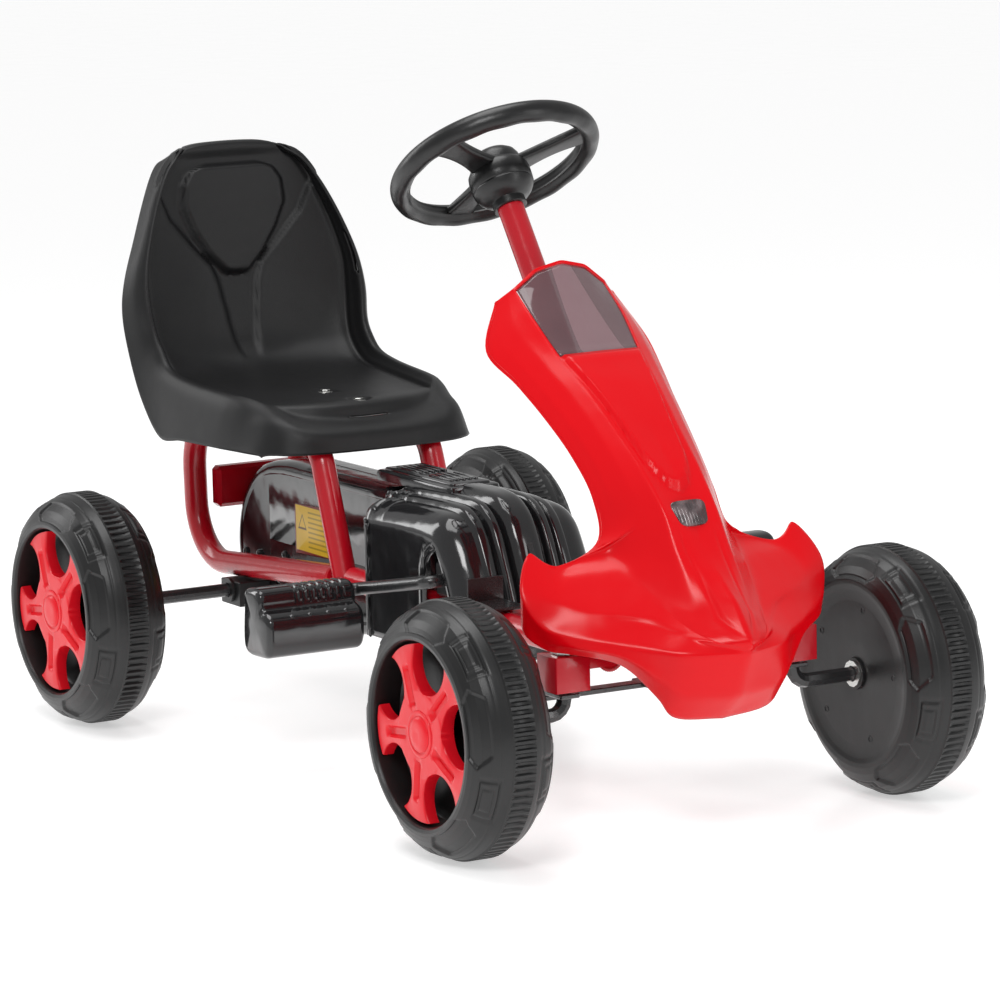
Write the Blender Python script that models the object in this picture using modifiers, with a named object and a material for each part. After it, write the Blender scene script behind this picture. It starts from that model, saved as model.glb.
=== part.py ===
"""Pedal go kart for a child: welded tube frame, bucket seat, chain drive to the rear axle,
tilted steering column with a tie rod, four blow-moulded wheels and plastic covers.

Every piece is placed from the middle of the wheelbase on the ground: +X forward, +Y left, +Z up,
in metres. The parent empty then moves the kart so that its box is centred on the origin.
"""

import math

import bmesh
import bpy
import numpy as np
from mathutils import Matrix, Vector

# Driving dimensions
HALF_BASE = 0.3796  # axle to the middle of the wheelbase
WHEEL_RADIUS = 0.120
FRONT_TRACK = 0.236  # wheel centre to the middle of the kart
REAR_TRACK = 0.246
BOX_SHIFT = 0.0135  # brings the middle of the kart's length to the origin
GAP = 0.0003  # between pieces that touch
RUN = 0.0004  # radial clearance of a turning fit

RAIL_Y = 0.063  # frame tubes to the middle of the kart
RAIL_RADIUS = 0.0125
SEAT_RAIL_Z = 0.298  # tube ends that carry the seat
AXLE_RADIUS = 0.007
CRANK_X, CRANK_Z = 0.068, 0.194
CRANK_ARM = 0.118
CRANK_TILT = math.radians(10.6)  # left arm above level, pointing forward
CRANK_BAR = 0.0065
KINGPIN_Y = 0.125
STEER_ARM = 0.044
TIE_ROD_Z = 0.1283
COLUMN_TILT = math.radians(35.5)  # from vertical, top towards the driver
WHEEL_CENTRE = (0.0566, 0.5949)  # steering wheel rim's centre, x and z
SEAT_THICK = 0.004
SEAT_BOLTS = (-0.308, -0.236)
SHELL_THICK = 0.003
CHAIN_PITCH = 0.0127
REAR_TEETH, CRANK_TEETH = 16, 24
RING_STEPS = 32  # sides of a wheel


# ---------------------------------------------------------------- scene, materials, helpers
for old in list(bpy.data.objects):
    bpy.data.objects.remove(old, do_unlink=True)

kart = bpy.data.collections.new("pedal_go_kart")
helpers = bpy.data.collections.new("cutters")
bpy.context.scene.collection.children.link(kart)
bpy.context.scene.collection.children.link(helpers)
base = bpy.data.objects.new("kart_base", None)
base.location = (BOX_SHIFT, 0, 0)
kart.objects.link(base)


def finish(name, colour, roughness, metallic=0.0):
    """A Principled material."""
    material = bpy.data.materials.new(name)
    material.use_nodes = True
    shader = material.node_tree.nodes["Principled BSDF"]
    shader.inputs["Base Color"].default_value = (*colour, 1)
    shader.inputs["Roughness"].default_value = roughness
    shader.inputs["Metallic"].default_value = metallic
    return material


RED_PAINT = finish("red_paint", (0.50, 0.012, 0.025), 0.28)
RED_PLASTIC = finish("red_plastic", (0.80, 0.008, 0.012), 0.35)
MATTE_BLACK = finish("matte_black_plastic", (0.022, 0.022, 0.023), 0.55)
GLOSS_BLACK = finish("gloss_black_plastic", (0.008, 0.008, 0.009), 0.15)
TYRE_BLACK = finish("tyre_plastic", (0.020, 0.020, 0.021), 0.48)
BLACK_STEEL = finish("black_steel", (0.012, 0.012, 0.012), 0.35, 0.6)
BRIGHT_STEEL = finish("zinc_steel", (0.62, 0.62, 0.60), 0.3, 1.0)
SMOKED = finish("smoked_window", (0.12, 0.07, 0.08), 0.12)
LENS = finish("lens", (0.35, 0.30, 0.32), 0.12)


def place(obj, material, location=(0, 0, 0), cutter=False):
    """Puts a new object in its collection, under the kart's empty."""
    for used in list(obj.users_collection):
        used.objects.unlink(obj)
    (helpers if cutter else kart).objects.link(obj)
    obj.parent = base
    obj.location = location
    obj.data.materials.clear()
    if cutter:
        obj.hide_render = True
        obj.display_type = "WIRE"
    else:
        obj.data.materials.append(material)
        if obj.type == "MESH":
            obj.data.shade_smooth()
            obj.data.set_sharp_from_angle(angle=math.radians(35))
    return obj


def from_bmesh(name, bm):
    bmesh.ops.recalc_face_normals(bm, faces=bm.faces)
    mesh = bpy.data.meshes.new(name)
    bm.to_mesh(mesh)
    bm.free()
    return bpy.data.objects.new(name, mesh)


def turned(axis):
    """The rotation that turns +Z to this axis."""
    return Vector((0, 0, 1)).rotation_difference(Vector(axis)).to_matrix().to_4x4()


def rod(name, start, end, radius, sides=12):
    """A straight round bar between two points, with a flat side square to the ground."""
    start, end = Vector(start), Vector(end)
    bm = bmesh.new()
    spin = Matrix.Rotation(math.pi / sides, 4, "Z")
    place_at = Matrix.Translation((start + end) / 2) @ turned(end - start) @ spin
    bmesh.ops.create_cone(bm, cap_ends=True, segments=sides, radius1=radius, radius2=radius,
                          depth=(end - start).length, matrix=place_at)
    return from_bmesh(name, bm)


def block(name, low, high, bevel=0.0, turn=None):
    """A box between two corners, with rounded edges; turn is a matrix about the box's middle."""
    low, high = Vector(low), Vector(high)
    middle = Matrix.Translation((low + high) / 2)
    bm = bmesh.new()
    bmesh.ops.create_cube(bm, size=1, matrix=Matrix.Diagonal((*(high - low), 1)))
    if bevel:
        bmesh.ops.bevel(bm, geom=bm.edges[:], offset=bevel, segments=1, affect="EDGES")
    bmesh.ops.transform(bm, matrix=middle @ (turn or Matrix()), verts=bm.verts)
    return from_bmesh(name, bm)


def cut(obj, cutter, operation="DIFFERENCE"):
    """An exact Boolean with another object."""
    modifier = obj.modifiers.new(cutter.name, "BOOLEAN")
    modifier.operation = operation
    modifier.object = cutter
    return obj


def cut_rod(obj, start, end, radius, sides=12):
    cutter = rod(f"cut_{obj.name}_{len(obj.modifiers)}", start, end, radius, sides)
    return cut(obj, place(cutter, None, cutter=True))


def cut_block(obj, low, high):
    cutter = block(f"cut_{obj.name}_{len(obj.modifiers)}", low, high)
    return cut(obj, place(cutter, None, cutter=True))


def joined(obj, *others):
    """One body of this object and others that overlap it."""
    for other in others:
        cut(obj, place(other, None, cutter=True), "UNION")
    return obj


def bend(corners, radius, steps=5):
    """Points of a bent bar: straight runs with an arc of this radius in each corner."""
    corners = [Vector(c) for c in corners]
    points = [corners[0]]
    for before, corner, after in zip(corners, corners[1:], corners[2:]):
        inward, outward = (before - corner).normalized(), (after - corner).normalized()
        half = inward.angle(outward) / 2
        centre = corner + (inward + outward).normalized() * radius / math.sin(half)
        first = corner + inward * radius / math.tan(half) - centre
        last = corner + outward * radius / math.tan(half) - centre
        sweep = first.angle(last)
        points += [centre + (first * math.sin(sweep * (1 - i / steps)) + last * math.sin(sweep * i / steps))
                   / math.sin(sweep) for i in range(steps + 1)]
    return points + [corners[-1]]


def bar(name, points, radius, resolution=2):
    """A bent round bar or tube as a curve with filled ends."""
    curve = bpy.data.curves.new(name, "CURVE")
    curve.dimensions = "3D"
    curve.bevel_depth = radius
    curve.bevel_resolution = resolution
    curve.use_fill_caps = True
    spline = curve.splines.new("POLY")
    spline.points.add(len(points) - 1)
    for target, point in zip(spline.points, points):
        target.co = (*point, 1)
    return bpy.data.objects.new(name, curve)


def bar_mesh(name, points, radius, resolution=2):
    """The same bar as a closed mesh, for Booleans."""
    source = bar(name + "_curve", points, radius, resolution)
    kart.objects.link(source)
    bpy.context.view_layer.update()
    graph = bpy.context.evaluated_depsgraph_get()
    mesh = bpy.data.meshes.new_from_object(source.evaluated_get(graph))
    made = bpy.data.objects.new(name, mesh)
    made.matrix_world = source.matrix_world
    bpy.data.objects.remove(source)
    bm = bmesh.new()
    bm.from_mesh(mesh)
    bmesh.ops.remove_doubles(bm, verts=bm.verts, dist=1e-5)
    bmesh.ops.recalc_face_normals(bm, faces=bm.faces)
    bm.to_mesh(mesh)
    bm.free()
    return made


def ring(name, centre, outer, inner, low, high, sides=12):
    """A washer, bush or nut on an axis along Y: outer and inner radius, from low to high in y."""
    x, z = centre
    made = rod(name, (x, low, z), (x, high, z), outer, sides)
    return cut_rod(made, (x, low - 0.01, z), (x, high + 0.01, z), inner, sides)


def sheet(name, rows, material, thickness, offset=-1.0, skip=()):
    """A shell: a grid of points with Solidify, offset -1 keeping the grid as its outer face."""
    bm = bmesh.new()
    grid = [[bm.verts.new(p) for p in row] for row in rows]
    for i, (upper, lower) in enumerate(zip(grid, grid[1:])):
        for j in range(len(upper) - 1):
            if (i, j) not in skip:
                bm.faces.new((upper[j], lower[j], lower[j + 1], upper[j + 1]))
    bmesh.ops.delete(bm, geom=[v for v in bm.verts if not v.link_faces], context="VERTS")
    bmesh.ops.remove_doubles(bm, verts=bm.verts, dist=1e-6)
    mesh = bpy.data.meshes.new(name)
    bm.to_mesh(mesh)
    bm.free()
    made = place(bpy.data.objects.new(name, mesh), material)
    wall = made.modifiers.new("wall", "SOLIDIFY")
    wall.thickness = thickness
    wall.offset = offset
    return made


def mirrored(half):
    """A row from its half at y >= 0, centre first, to the full row from +y to -y."""
    return [tuple(p) for p in half[:0:-1]] + [(x, -y, z) for x, y, z in half]


# ---------------------------------------------------------------- frame
def frame_tubes():
    for side, y in (("right", -RAIL_Y), ("left", RAIL_Y)):
        rail = rod(f"front_rail_{side}", (-0.1388, y, 0.1640), (0.3616, y, 0.1640), RAIL_RADIUS, 12)
        place(rail, RED_PAINT)
        loop = bend([(-0.1752, y, 0.1612), (-0.487, y, 0.136), (-0.493, y, SEAT_RAIL_Z), (-0.2600, y, SEAT_RAIL_Z)],
                    0.062)
        place(bar(f"seat_hoop_{side}", loop, RAIL_RADIUS), RED_PAINT)
        post = bend([(-0.1508, y, 0.146), (-0.2065, y, SEAT_RAIL_Z), (-0.2595, y, SEAT_RAIL_Z)], 0.040)
        place(bar(f"seat_post_{side}", post, RAIL_RADIUS), RED_PAINT)


def cross_members():
    reach = RAIL_Y - RAIL_RADIUS - 0.0006
    rear = block("rear_cross_tube", (-0.480, -reach, 0.193), (-0.462, reach, 0.237), 0.004)
    place(rear, RED_PAINT)
    place(rod("mid_cross_tube", (0.150, -reach, 0.164), (0.150, reach, 0.164), 0.011, 12), RED_PAINT)
    beam = block("front_beam", (0.3620, -0.142, 0.1510), (0.3960, 0.142, 0.1755), 0.003)
    ends = [block(f"beam_end_{i}", (0.3610, min(a, b), 0.1425), (0.3965, max(a, b), 0.1765), 0.002)
            for i, (a, b) in enumerate(((-0.143, -0.106), (0.106, 0.143)))]
    joined(beam, *ends)
    for y in (-KINGPIN_Y, KINGPIN_Y):
        cut_rod(beam, (HALF_BASE, y, 0.10), (HALF_BASE, y, 0.22), AXLE_RADIUS + 2 * RUN)
    place(beam, RED_PAINT)


def seat_bracket():
    """A plate under the pan with a tongue for the front bolt, on pads over the tube ends."""
    plate = block("seat_bracket", (-0.365, -0.076, 0.3222), (-0.262, 0.076, 0.3262), 0.001)
    pieces = [block("bracket_tongue", (-0.270, -0.028, 0.3210), (-0.2285, 0.028, 0.3250), 0.001)]
    top = SEAT_RAIL_Z + RAIL_RADIUS + GAP
    for i, y in enumerate((-RAIL_Y, RAIL_Y)):
        pieces.append(block(f"bracket_pad_{i}", (-0.345, y - 0.008, top), (-0.268, y + 0.008, 0.3230)))
    joined(plate, *pieces)
    for x in SEAT_BOLTS:
        cut_rod(plate, (x, 0, 0.30), (x, 0, 0.35), 0.0046, 12)
    place(plate, RED_PAINT)


# ---------------------------------------------------------------- seat
def seat_rows():
    """Half rows from the front of the pan to the top of the back: centre, middle, crease of the
    dish, crest of the rolled rim, its shoulder and its outer edge."""
    return [[(-0.180, 0, 0.287), (-0.181, 0.050, 0.287), (-0.186, 0.082, 0.287),
             (-0.196, 0.103, 0.287), (-0.209, 0.115, 0.287), (-0.222, 0.123, 0.286)],
            [(-0.188, 0, 0.306), (-0.189, 0.050, 0.307), (-0.195, 0.080, 0.310),
             (-0.208, 0.100, 0.315), (-0.224, 0.114, 0.312), (-0.236, 0.127, 0.286)],
            [(-0.211, 0, 0.315), (-0.217, 0.050, 0.317), (-0.229, 0.078, 0.321),
             (-0.240, 0.102, 0.329), (-0.250, 0.119, 0.320), (-0.258, 0.131, 0.286)],
            [(-0.223, 0, 0.3312), (-0.230, 0.050, 0.3312), (-0.250, 0.090, 0.3312),
             (-0.268, 0.110, 0.338), (-0.275, 0.125, 0.327), (-0.285, 0.135, 0.286)],
            [(-0.270, 0, 0.3312), (-0.275, 0.050, 0.3312), (-0.285, 0.098, 0.3312),
             (-0.296, 0.117, 0.341), (-0.302, 0.129, 0.329), (-0.308, 0.137, 0.286)],
            [(-0.380, 0, 0.3330), (-0.380, 0.050, 0.3330), (-0.380, 0.105, 0.336),
             (-0.375, 0.122, 0.346), (-0.374, 0.133, 0.334), (-0.370, 0.140, 0.285)],
            [(-0.430, 0, 0.3360), (-0.430, 0.050, 0.3365), (-0.428, 0.107, 0.341),
             (-0.418, 0.122, 0.354), (-0.420, 0.134, 0.342), (-0.414, 0.141, 0.283)],
            [(-0.464, 0, 0.3470), (-0.462, 0.050, 0.3480), (-0.454, 0.107, 0.357),
             (-0.437, 0.121, 0.370), (-0.443, 0.133, 0.362), (-0.452, 0.142, 0.318)],
            [(-0.481, 0, 0.3680), (-0.480, 0.055, 0.3690), (-0.469, 0.109, 0.377),
             (-0.448, 0.123, 0.386), (-0.458, 0.134, 0.383), (-0.476, 0.143, 0.362)],
            [(-0.492, 0, 0.405), (-0.490, 0.055, 0.406), (-0.478, 0.112, 0.410),
             (-0.456, 0.126, 0.417), (-0.466, 0.137, 0.415), (-0.488, 0.144, 0.405)],
            [(-0.500, 0, 0.443), (-0.498, 0.055, 0.444), (-0.483, 0.112, 0.448),
             (-0.464, 0.123, 0.453), (-0.473, 0.132, 0.451), (-0.493, 0.138, 0.440)],
            [(-0.504, 0, 0.485), (-0.503, 0.052, 0.486), (-0.491, 0.103, 0.488),
             (-0.474, 0.111, 0.493), (-0.482, 0.118, 0.491), (-0.502, 0.121, 0.482)],
            [(-0.506, 0, 0.520), (-0.505, 0.048, 0.521), (-0.497, 0.090, 0.523),
             (-0.484, 0.096, 0.527), (-0.491, 0.103, 0.525), (-0.511, 0.106, 0.516)],
            [(-0.508, 0, 0.548), (-0.507, 0.042, 0.549), (-0.502, 0.076, 0.549),
             (-0.492, 0.082, 0.551), (-0.498, 0.088, 0.549), (-0.520, 0.092, 0.542)],
            [(-0.509, 0, 0.566), (-0.508, 0.036, 0.565), (-0.506, 0.062, 0.563),
             (-0.499, 0.070, 0.563), (-0.505, 0.076, 0.562), (-0.528, 0.080, 0.556)],
            [(-0.512, 0, 0.578), (-0.512, 0.033, 0.577), (-0.512, 0.052, 0.574),
             (-0.512, 0.060, 0.571), (-0.516, 0.066, 0.568), (-0.531, 0.070, 0.561)],
            [(-0.533, 0, 0.577), (-0.533, 0.030, 0.576), (-0.533, 0.046, 0.573),
             (-0.533, 0.053, 0.570), (-0.534, 0.058, 0.567), (-0.535, 0.062, 0.562)]]


def seat():
    """The bucket: a dished pan that drops to the front, a tall back and a rolled rim all round."""
    shell = sheet("seat_shell", [mirrored(row) for row in seat_rows()], MATTE_BLACK, SEAT_THICK)
    for x in SEAT_BOLTS:
        cut_rod(shell, (x, 0, 0.30), (x, 0, 0.36), 0.0046, 12)


def seat_bolts():
    for name, x, pan in zip(("seat_bolt_rear", "seat_bolt_front"), SEAT_BOLTS, (0.3319, 0.3312)):
        head = rod(name, (x, 0, pan + GAP), (x, 0, pan + 0.0045), 0.0080, 6)
        shank = rod(name + "_shank", (x, 0, 0.3110), (x, 0, pan + 0.001), 0.0040, 12)
        place(joined(head, shank), BLACK_STEEL)


# ---------------------------------------------------------------- wheels
def tyre_mesh():
    """The blow-moulded wheel as a wall turned round Y, outward side at +Y, bore left open."""
    outline = [(-0.0380, 0.0115), (-0.0405, 0.0800), (-0.0425, 0.0900), (-0.0360, 0.1075),
               (-0.0115, WHEEL_RADIUS), (0.0115, WHEEL_RADIUS), (0.0360, 0.1090), (0.0448, 0.0930),
               (0.0435, 0.0850), (0.0140, 0.0805), (0.0120, 0.0115)]
    widen = 1 / math.cos(math.pi / RING_STEPS)  # flats at the true radius
    mesh = bpy.data.meshes.new("tyre_outline")
    verts = [(0, y, -r * widen) for y, r in outline]
    mesh.from_pydata(verts, [(i, i + 1) for i in range(len(verts) - 1)], [])
    return mesh


def wheels():
    outline = tyre_mesh()
    cap = hub_cap_mesh()
    for end, x, track in (("front", HALF_BASE, FRONT_TRACK), ("rear", -HALF_BASE, REAR_TRACK)):
        for side, sign in (("right", -1), ("left", 1)):
            name = f"{end}_{side}"
            turn = math.pi if sign < 0 else 0.0
            tyre = bpy.data.objects.new(f"tyre_{name}", outline.copy())
            place(tyre, TYRE_BLACK, (x, sign * track, WHEEL_RADIUS))
            tyre.rotation_euler = (0, math.pi / RING_STEPS, turn)
            spin = tyre.modifiers.new("turn", "SCREW")
            spin.axis = "Y"
            spin.angle = math.tau
            spin.steps = spin.render_steps = RING_STEPS
            spin.use_merge_vertices = True
            spin.merge_threshold = 1e-4
            spin.use_normal_flip = True
            wall = tyre.modifiers.new("wall", "SOLIDIFY")
            wall.thickness = SHELL_THICK
            wall.offset = -1
            star = bpy.data.objects.new(f"hub_cap_{name}", cap.copy())
            place(star, RED_PLASTIC, (x, sign * track, WHEEL_RADIUS))
            star.rotation_euler = (0, 0, turn)
            outward = [sign * (track + w) for w in (-0.0413, -0.0383, 0.0120)]
            flange = rod(f"wheel_bush_{name}", (x, outward[0], WHEEL_RADIUS),
                         (x, outward[1], WHEEL_RADIUS), 0.0155)
            sleeve = rod(f"bush_sleeve_{name}", (x, outward[1] - sign * 0.001, WHEEL_RADIUS),
                         (x, outward[2], WHEEL_RADIUS), 0.0108)
            joined(flange, sleeve)
            cut_rod(flange, (x, sign * track - 0.07, WHEEL_RADIUS),
                    (x, sign * track + 0.07, WHEEL_RADIUS), AXLE_RADIUS + 2 * RUN)
            place(flange, MATTE_BLACK)


def hub_cap_mesh():
    """A five-spoked star with flared ends and a round boss, outward side at +Y."""
    spokes, boss_radius = 5, 0.020
    half_spoke = [(0.0350, 0.0165), (0.0430, 0.0115), (0.0560, 0.0110), (0.0660, 0.0150),
                  (0.0730, 0.0220), (0.0770, 0.0245), (0.0795, 0.0100)]  # radius out, half width
    outline = []
    for k in range(spokes):
        angle = math.radians(43) + k * math.tau / spokes
        along = Vector((math.cos(angle), math.sin(angle)))
        across = Vector((-along.y, along.x))
        outline += [along * r - across * w for r, w in half_spoke]
        outline += [along * r + across * w for r, w in reversed(half_spoke)]
    bm = bmesh.new()
    face = bm.faces.new([bm.verts.new((p.x, 0.028, p.y)) for p in outline])
    lifted = bmesh.ops.extrude_face_region(bm, geom=[face])
    moved = [v for v in lifted["geom"] if isinstance(v, bmesh.types.BMVert)]
    bmesh.ops.translate(bm, verts=moved, vec=(0, 0.010, 0))
    star = from_bmesh("hub_star", bm)
    boss = rod("hub_boss", (0, 0.0285, 0), (0, 0.0425, 0), boss_radius, 20)
    place(joined(star, boss), RED_PLASTIC)
    bpy.context.view_layer.update()
    graph = bpy.context.evaluated_depsgraph_get()
    mesh = bpy.data.meshes.new_from_object(star.evaluated_get(graph))
    bpy.data.objects.remove(boss)
    bpy.data.objects.remove(star)
    return mesh


def front_washers():
    for side, sign in (("right", -1), ("left", 1)):
        y = [sign * (FRONT_TRACK + w) for w in (-0.0436, -0.0417)]
        washer = ring(f"wheel_washer_{side}", (HALF_BASE, WHEEL_RADIUS), 0.0128, AXLE_RADIUS + 2 * RUN,
                      min(y), max(y))
        place(washer, BRIGHT_STEEL)


# ---------------------------------------------------------------- rear axle and chain drive
def rear_axle():
    reach = REAR_TRACK + 0.024
    axle = rod("rear_axle", (-HALF_BASE, -reach, WHEEL_RADIUS), (-HALF_BASE, reach, WHEEL_RADIUS),
               AXLE_RADIUS)
    place(axle, BLACK_STEEL)
    for side, sign in (("right", -1), ("left", 1)):
        low, high = sorted((sign * (RAIL_Y - 0.018), sign * (RAIL_Y + 0.018)))
        housing = block(f"axle_bearing_block_{side}", (-0.401, low, 0.1040), (-0.358, high, 0.1298),
                        0.0008)
        cut_rod(housing, (-HALF_BASE, low - 0.01, WHEEL_RADIUS), (-HALF_BASE, high + 0.01, WHEEL_RADIUS),
                0.0094)
        place(housing, MATTE_BLACK)
        outer = sign * (RAIL_Y + 0.018)
        sleeve = rod(f"axle_bush_{side}", (-HALF_BASE, sign * (RAIL_Y - 0.014), WHEEL_RADIUS),
                     (-HALF_BASE, outer + sign * 0.002, WHEEL_RADIUS), 0.0089)
        flange = rod(f"axle_bush_flange_{side}", (-HALF_BASE, outer + sign * GAP, WHEEL_RADIUS),
                     (-HALF_BASE, outer + sign * 0.0035, WHEEL_RADIUS), 0.0130)
        joined(sleeve, flange)
        cut_rod(sleeve, (-HALF_BASE, -0.12, WHEEL_RADIUS), (-HALF_BASE, 0.12, WHEEL_RADIUS),
                AXLE_RADIUS + 2 * RUN)
        place(sleeve, GLOSS_BLACK)


def pitch_radius(teeth):
    return CHAIN_PITCH / (2 * math.sin(math.pi / teeth))


def sprocket(name, centre, teeth, shaft):
    """A toothed disc, its tips just under the chain band."""
    tip, root = pitch_radius(teeth) - 0.0050, pitch_radius(teeth) - 0.0072
    outline = []
    for k in range(teeth):
        for share, radius in ((-0.30, root), (-0.14, tip), (0.14, tip), (0.30, root)):
            angle = (k + share) * math.tau / teeth
            outline.append((centre[0] + radius * math.cos(angle), centre[1] + radius * math.sin(angle)))
    bm = bmesh.new()
    face = bm.faces.new([bm.verts.new((x, -0.002, z)) for x, z in outline])
    lifted = bmesh.ops.extrude_face_region(bm, geom=[face])
    moved = [v for v in lifted["geom"] if isinstance(v, bmesh.types.BMVert)]
    bmesh.ops.translate(bm, verts=moved, vec=(0, 0.004, 0))
    disc = from_bmesh(name, bm)
    boss = rod(name + "_boss", (centre[0], -0.009, centre[1]), (centre[0], 0.009, centre[1]),
               shaft + 0.007)
    joined(disc, boss)
    cut_rod(disc, (centre[0], -0.03, centre[1]), (centre[0], 0.03, centre[1]), shaft + RUN)
    place(disc, BLACK_STEEL)


def chain():
    """The roller chain as a band along its two tangent runs and round both sprockets."""
    rear, front = Vector((-HALF_BASE, WHEEL_RADIUS)), Vector((CRANK_X, CRANK_Z))
    small, large = pitch_radius(REAR_TEETH), pitch_radius(CRANK_TEETH)
    line = front - rear
    slope = math.atan2(line.y, line.x)
    spread = math.acos((small - large) / line.length)

    def loop(offset):
        points = []
        for centre, radius, start, end in ((front, large, slope - spread, slope + spread),
                                           (rear, small, slope + spread, slope + math.tau - spread)):
            for i in range(13):
                angle = start + (end - start) * i / 12
                points.append(centre + (radius + offset) * Vector((math.cos(angle), math.sin(angle))))
        return points

    bm = bmesh.new()
    rings = [[bm.verts.new((p.x, y, p.y)) for p in loop(offset)]
             for offset, y in ((-0.0030, -0.003), (0.0040, -0.003), (0.0040, 0.003), (-0.0030, 0.003))]
    for one, other in zip(rings, rings[1:] + rings[:1]):
        for i in range(len(one)):
            j = (i + 1) % len(one)
            bm.faces.new((one[i], one[j], other[j], other[i]))
    place(from_bmesh("chain", bm), BLACK_STEEL)


def crank():
    """One bent bar: right pedal pin, arm, bottom axle, arm, left pedal pin."""
    dx, dz = CRANK_ARM * math.cos(CRANK_TILT), CRANK_ARM * math.sin(CRANK_TILT)
    corners = [(CRANK_X - dx, -0.2225, CRANK_Z - dz), (CRANK_X - dx, -0.1060, CRANK_Z - dz),
               (CRANK_X, -0.0925, CRANK_Z), (CRANK_X, 0.0925, CRANK_Z),
               (CRANK_X + dx, 0.1060, CRANK_Z + dz), (CRANK_X + dx, 0.2225, CRANK_Z + dz)]
    place(bar("crankshaft", bend(corners, 0.010, 4), CRANK_BAR, 1), BLACK_STEEL)
    for side, sign in (("right", -1), ("left", 1)):
        low, high = sorted((sign * (RAIL_Y - 0.011), sign * (RAIL_Y + 0.011)))
        housing = block(f"crank_bearing_{side}", (CRANK_X - 0.018, low, 0.1768),
                        (CRANK_X + 0.018, high, 0.2120), 0.003)
        cut_rod(housing, (CRANK_X, low - 0.01, CRANK_Z), (CRANK_X, high + 0.01, CRANK_Z),
                CRANK_BAR + 2 * RUN)
        place(housing, MATTE_BLACK)


def pedals():
    """A ribbed grip round the pin, with a tread platform and a deep skirt below and ahead of it."""
    dx, dz = CRANK_ARM * math.cos(CRANK_TILT), CRANK_ARM * math.sin(CRANK_TILT)
    inner, outer = 0.1180, 0.2260
    for side, sign in (("right", -1), ("left", 1)):
        x, z = CRANK_X + sign * dx, CRANK_Z + sign * dz
        low, high = sorted((sign * inner, sign * outer))
        grip = block(f"pedal_{side}", (x - 0.018, low, z - 0.013), (x + 0.016, high, z + 0.012), 0.005)
        body = block(f"pedal_body_{side}", (x - 0.022, low, z - 0.055), (x + 0.036, high, z - 0.0100),
                     0.006)
        joined(grip, body)
        cut_rod(grip, (x, low - 0.02, z), (x, high + 0.02, z), CRANK_BAR + 2 * RUN, 12)
        place(grip, GLOSS_BLACK)


# ---------------------------------------------------------------- covers over the drive
def chain_case():
    """Two half shells that meet on the middle plane, open where they enter the engine cover."""
    side_view = [(-0.118, 0.104), (-0.250, 0.086), (-0.380, 0.076), (-0.420, 0.086), (-0.448, 0.112),
                 (-0.462, 0.150), (-0.456, 0.190), (-0.436, 0.222), (-0.404, 0.245), (-0.360, 0.254),
                 (-0.300, 0.2555), (-0.118, 0.2560)]
    middle = Vector((-0.29, 0.165))
    half_width, edge = 0.031, 0.009
    for side, sign in (("right", -1), ("left", 1)):
        rows = []
        for (x, z) in side_view:
            point = Vector((x, z))
            inward = (middle - point).normalized() * edge
            if x > -0.12:
                inward = Vector((0, math.copysign(edge, 0.17 - z)))
            near = point + inward
            rows.append([(x, sign * 0.0004, z), (x, sign * (half_width - edge), z),
                         (near.x, sign * half_width, near.y)])
        bm = bmesh.new()
        grid = [[bm.verts.new(p) for p in row] for row in rows]
        for upper, lower in zip(grid, grid[1:]):
            for j in range(2):
                bm.faces.new((upper[j], lower[j], lower[j + 1], upper[j + 1]))
        bm.faces.new([row[2] for row in grid])
        bmesh.ops.recalc_face_normals(bm, faces=bm.faces)
        outside = next(f for f in bm.faces if len(f.verts) > 4)
        if outside.normal.y * sign < 0:
            bmesh.ops.reverse_faces(bm, faces=bm.faces)
        mesh = bpy.data.meshes.new(f"chain_case_{side}")
        bm.to_mesh(mesh)
        bm.free()
        shell = place(bpy.data.objects.new(f"chain_case_{side}", mesh), GLOSS_BLACK)
        wall = shell.modifiers.new("wall", "SOLIDIFY")
        wall.thickness = 0.0025
        wall.offset = -1
        cut_rod(shell, (-HALF_BASE, -0.06, WHEEL_RADIUS), (-HALF_BASE, 0.06, WHEEL_RADIUS),
                AXLE_RADIUS + 0.003)


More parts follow.
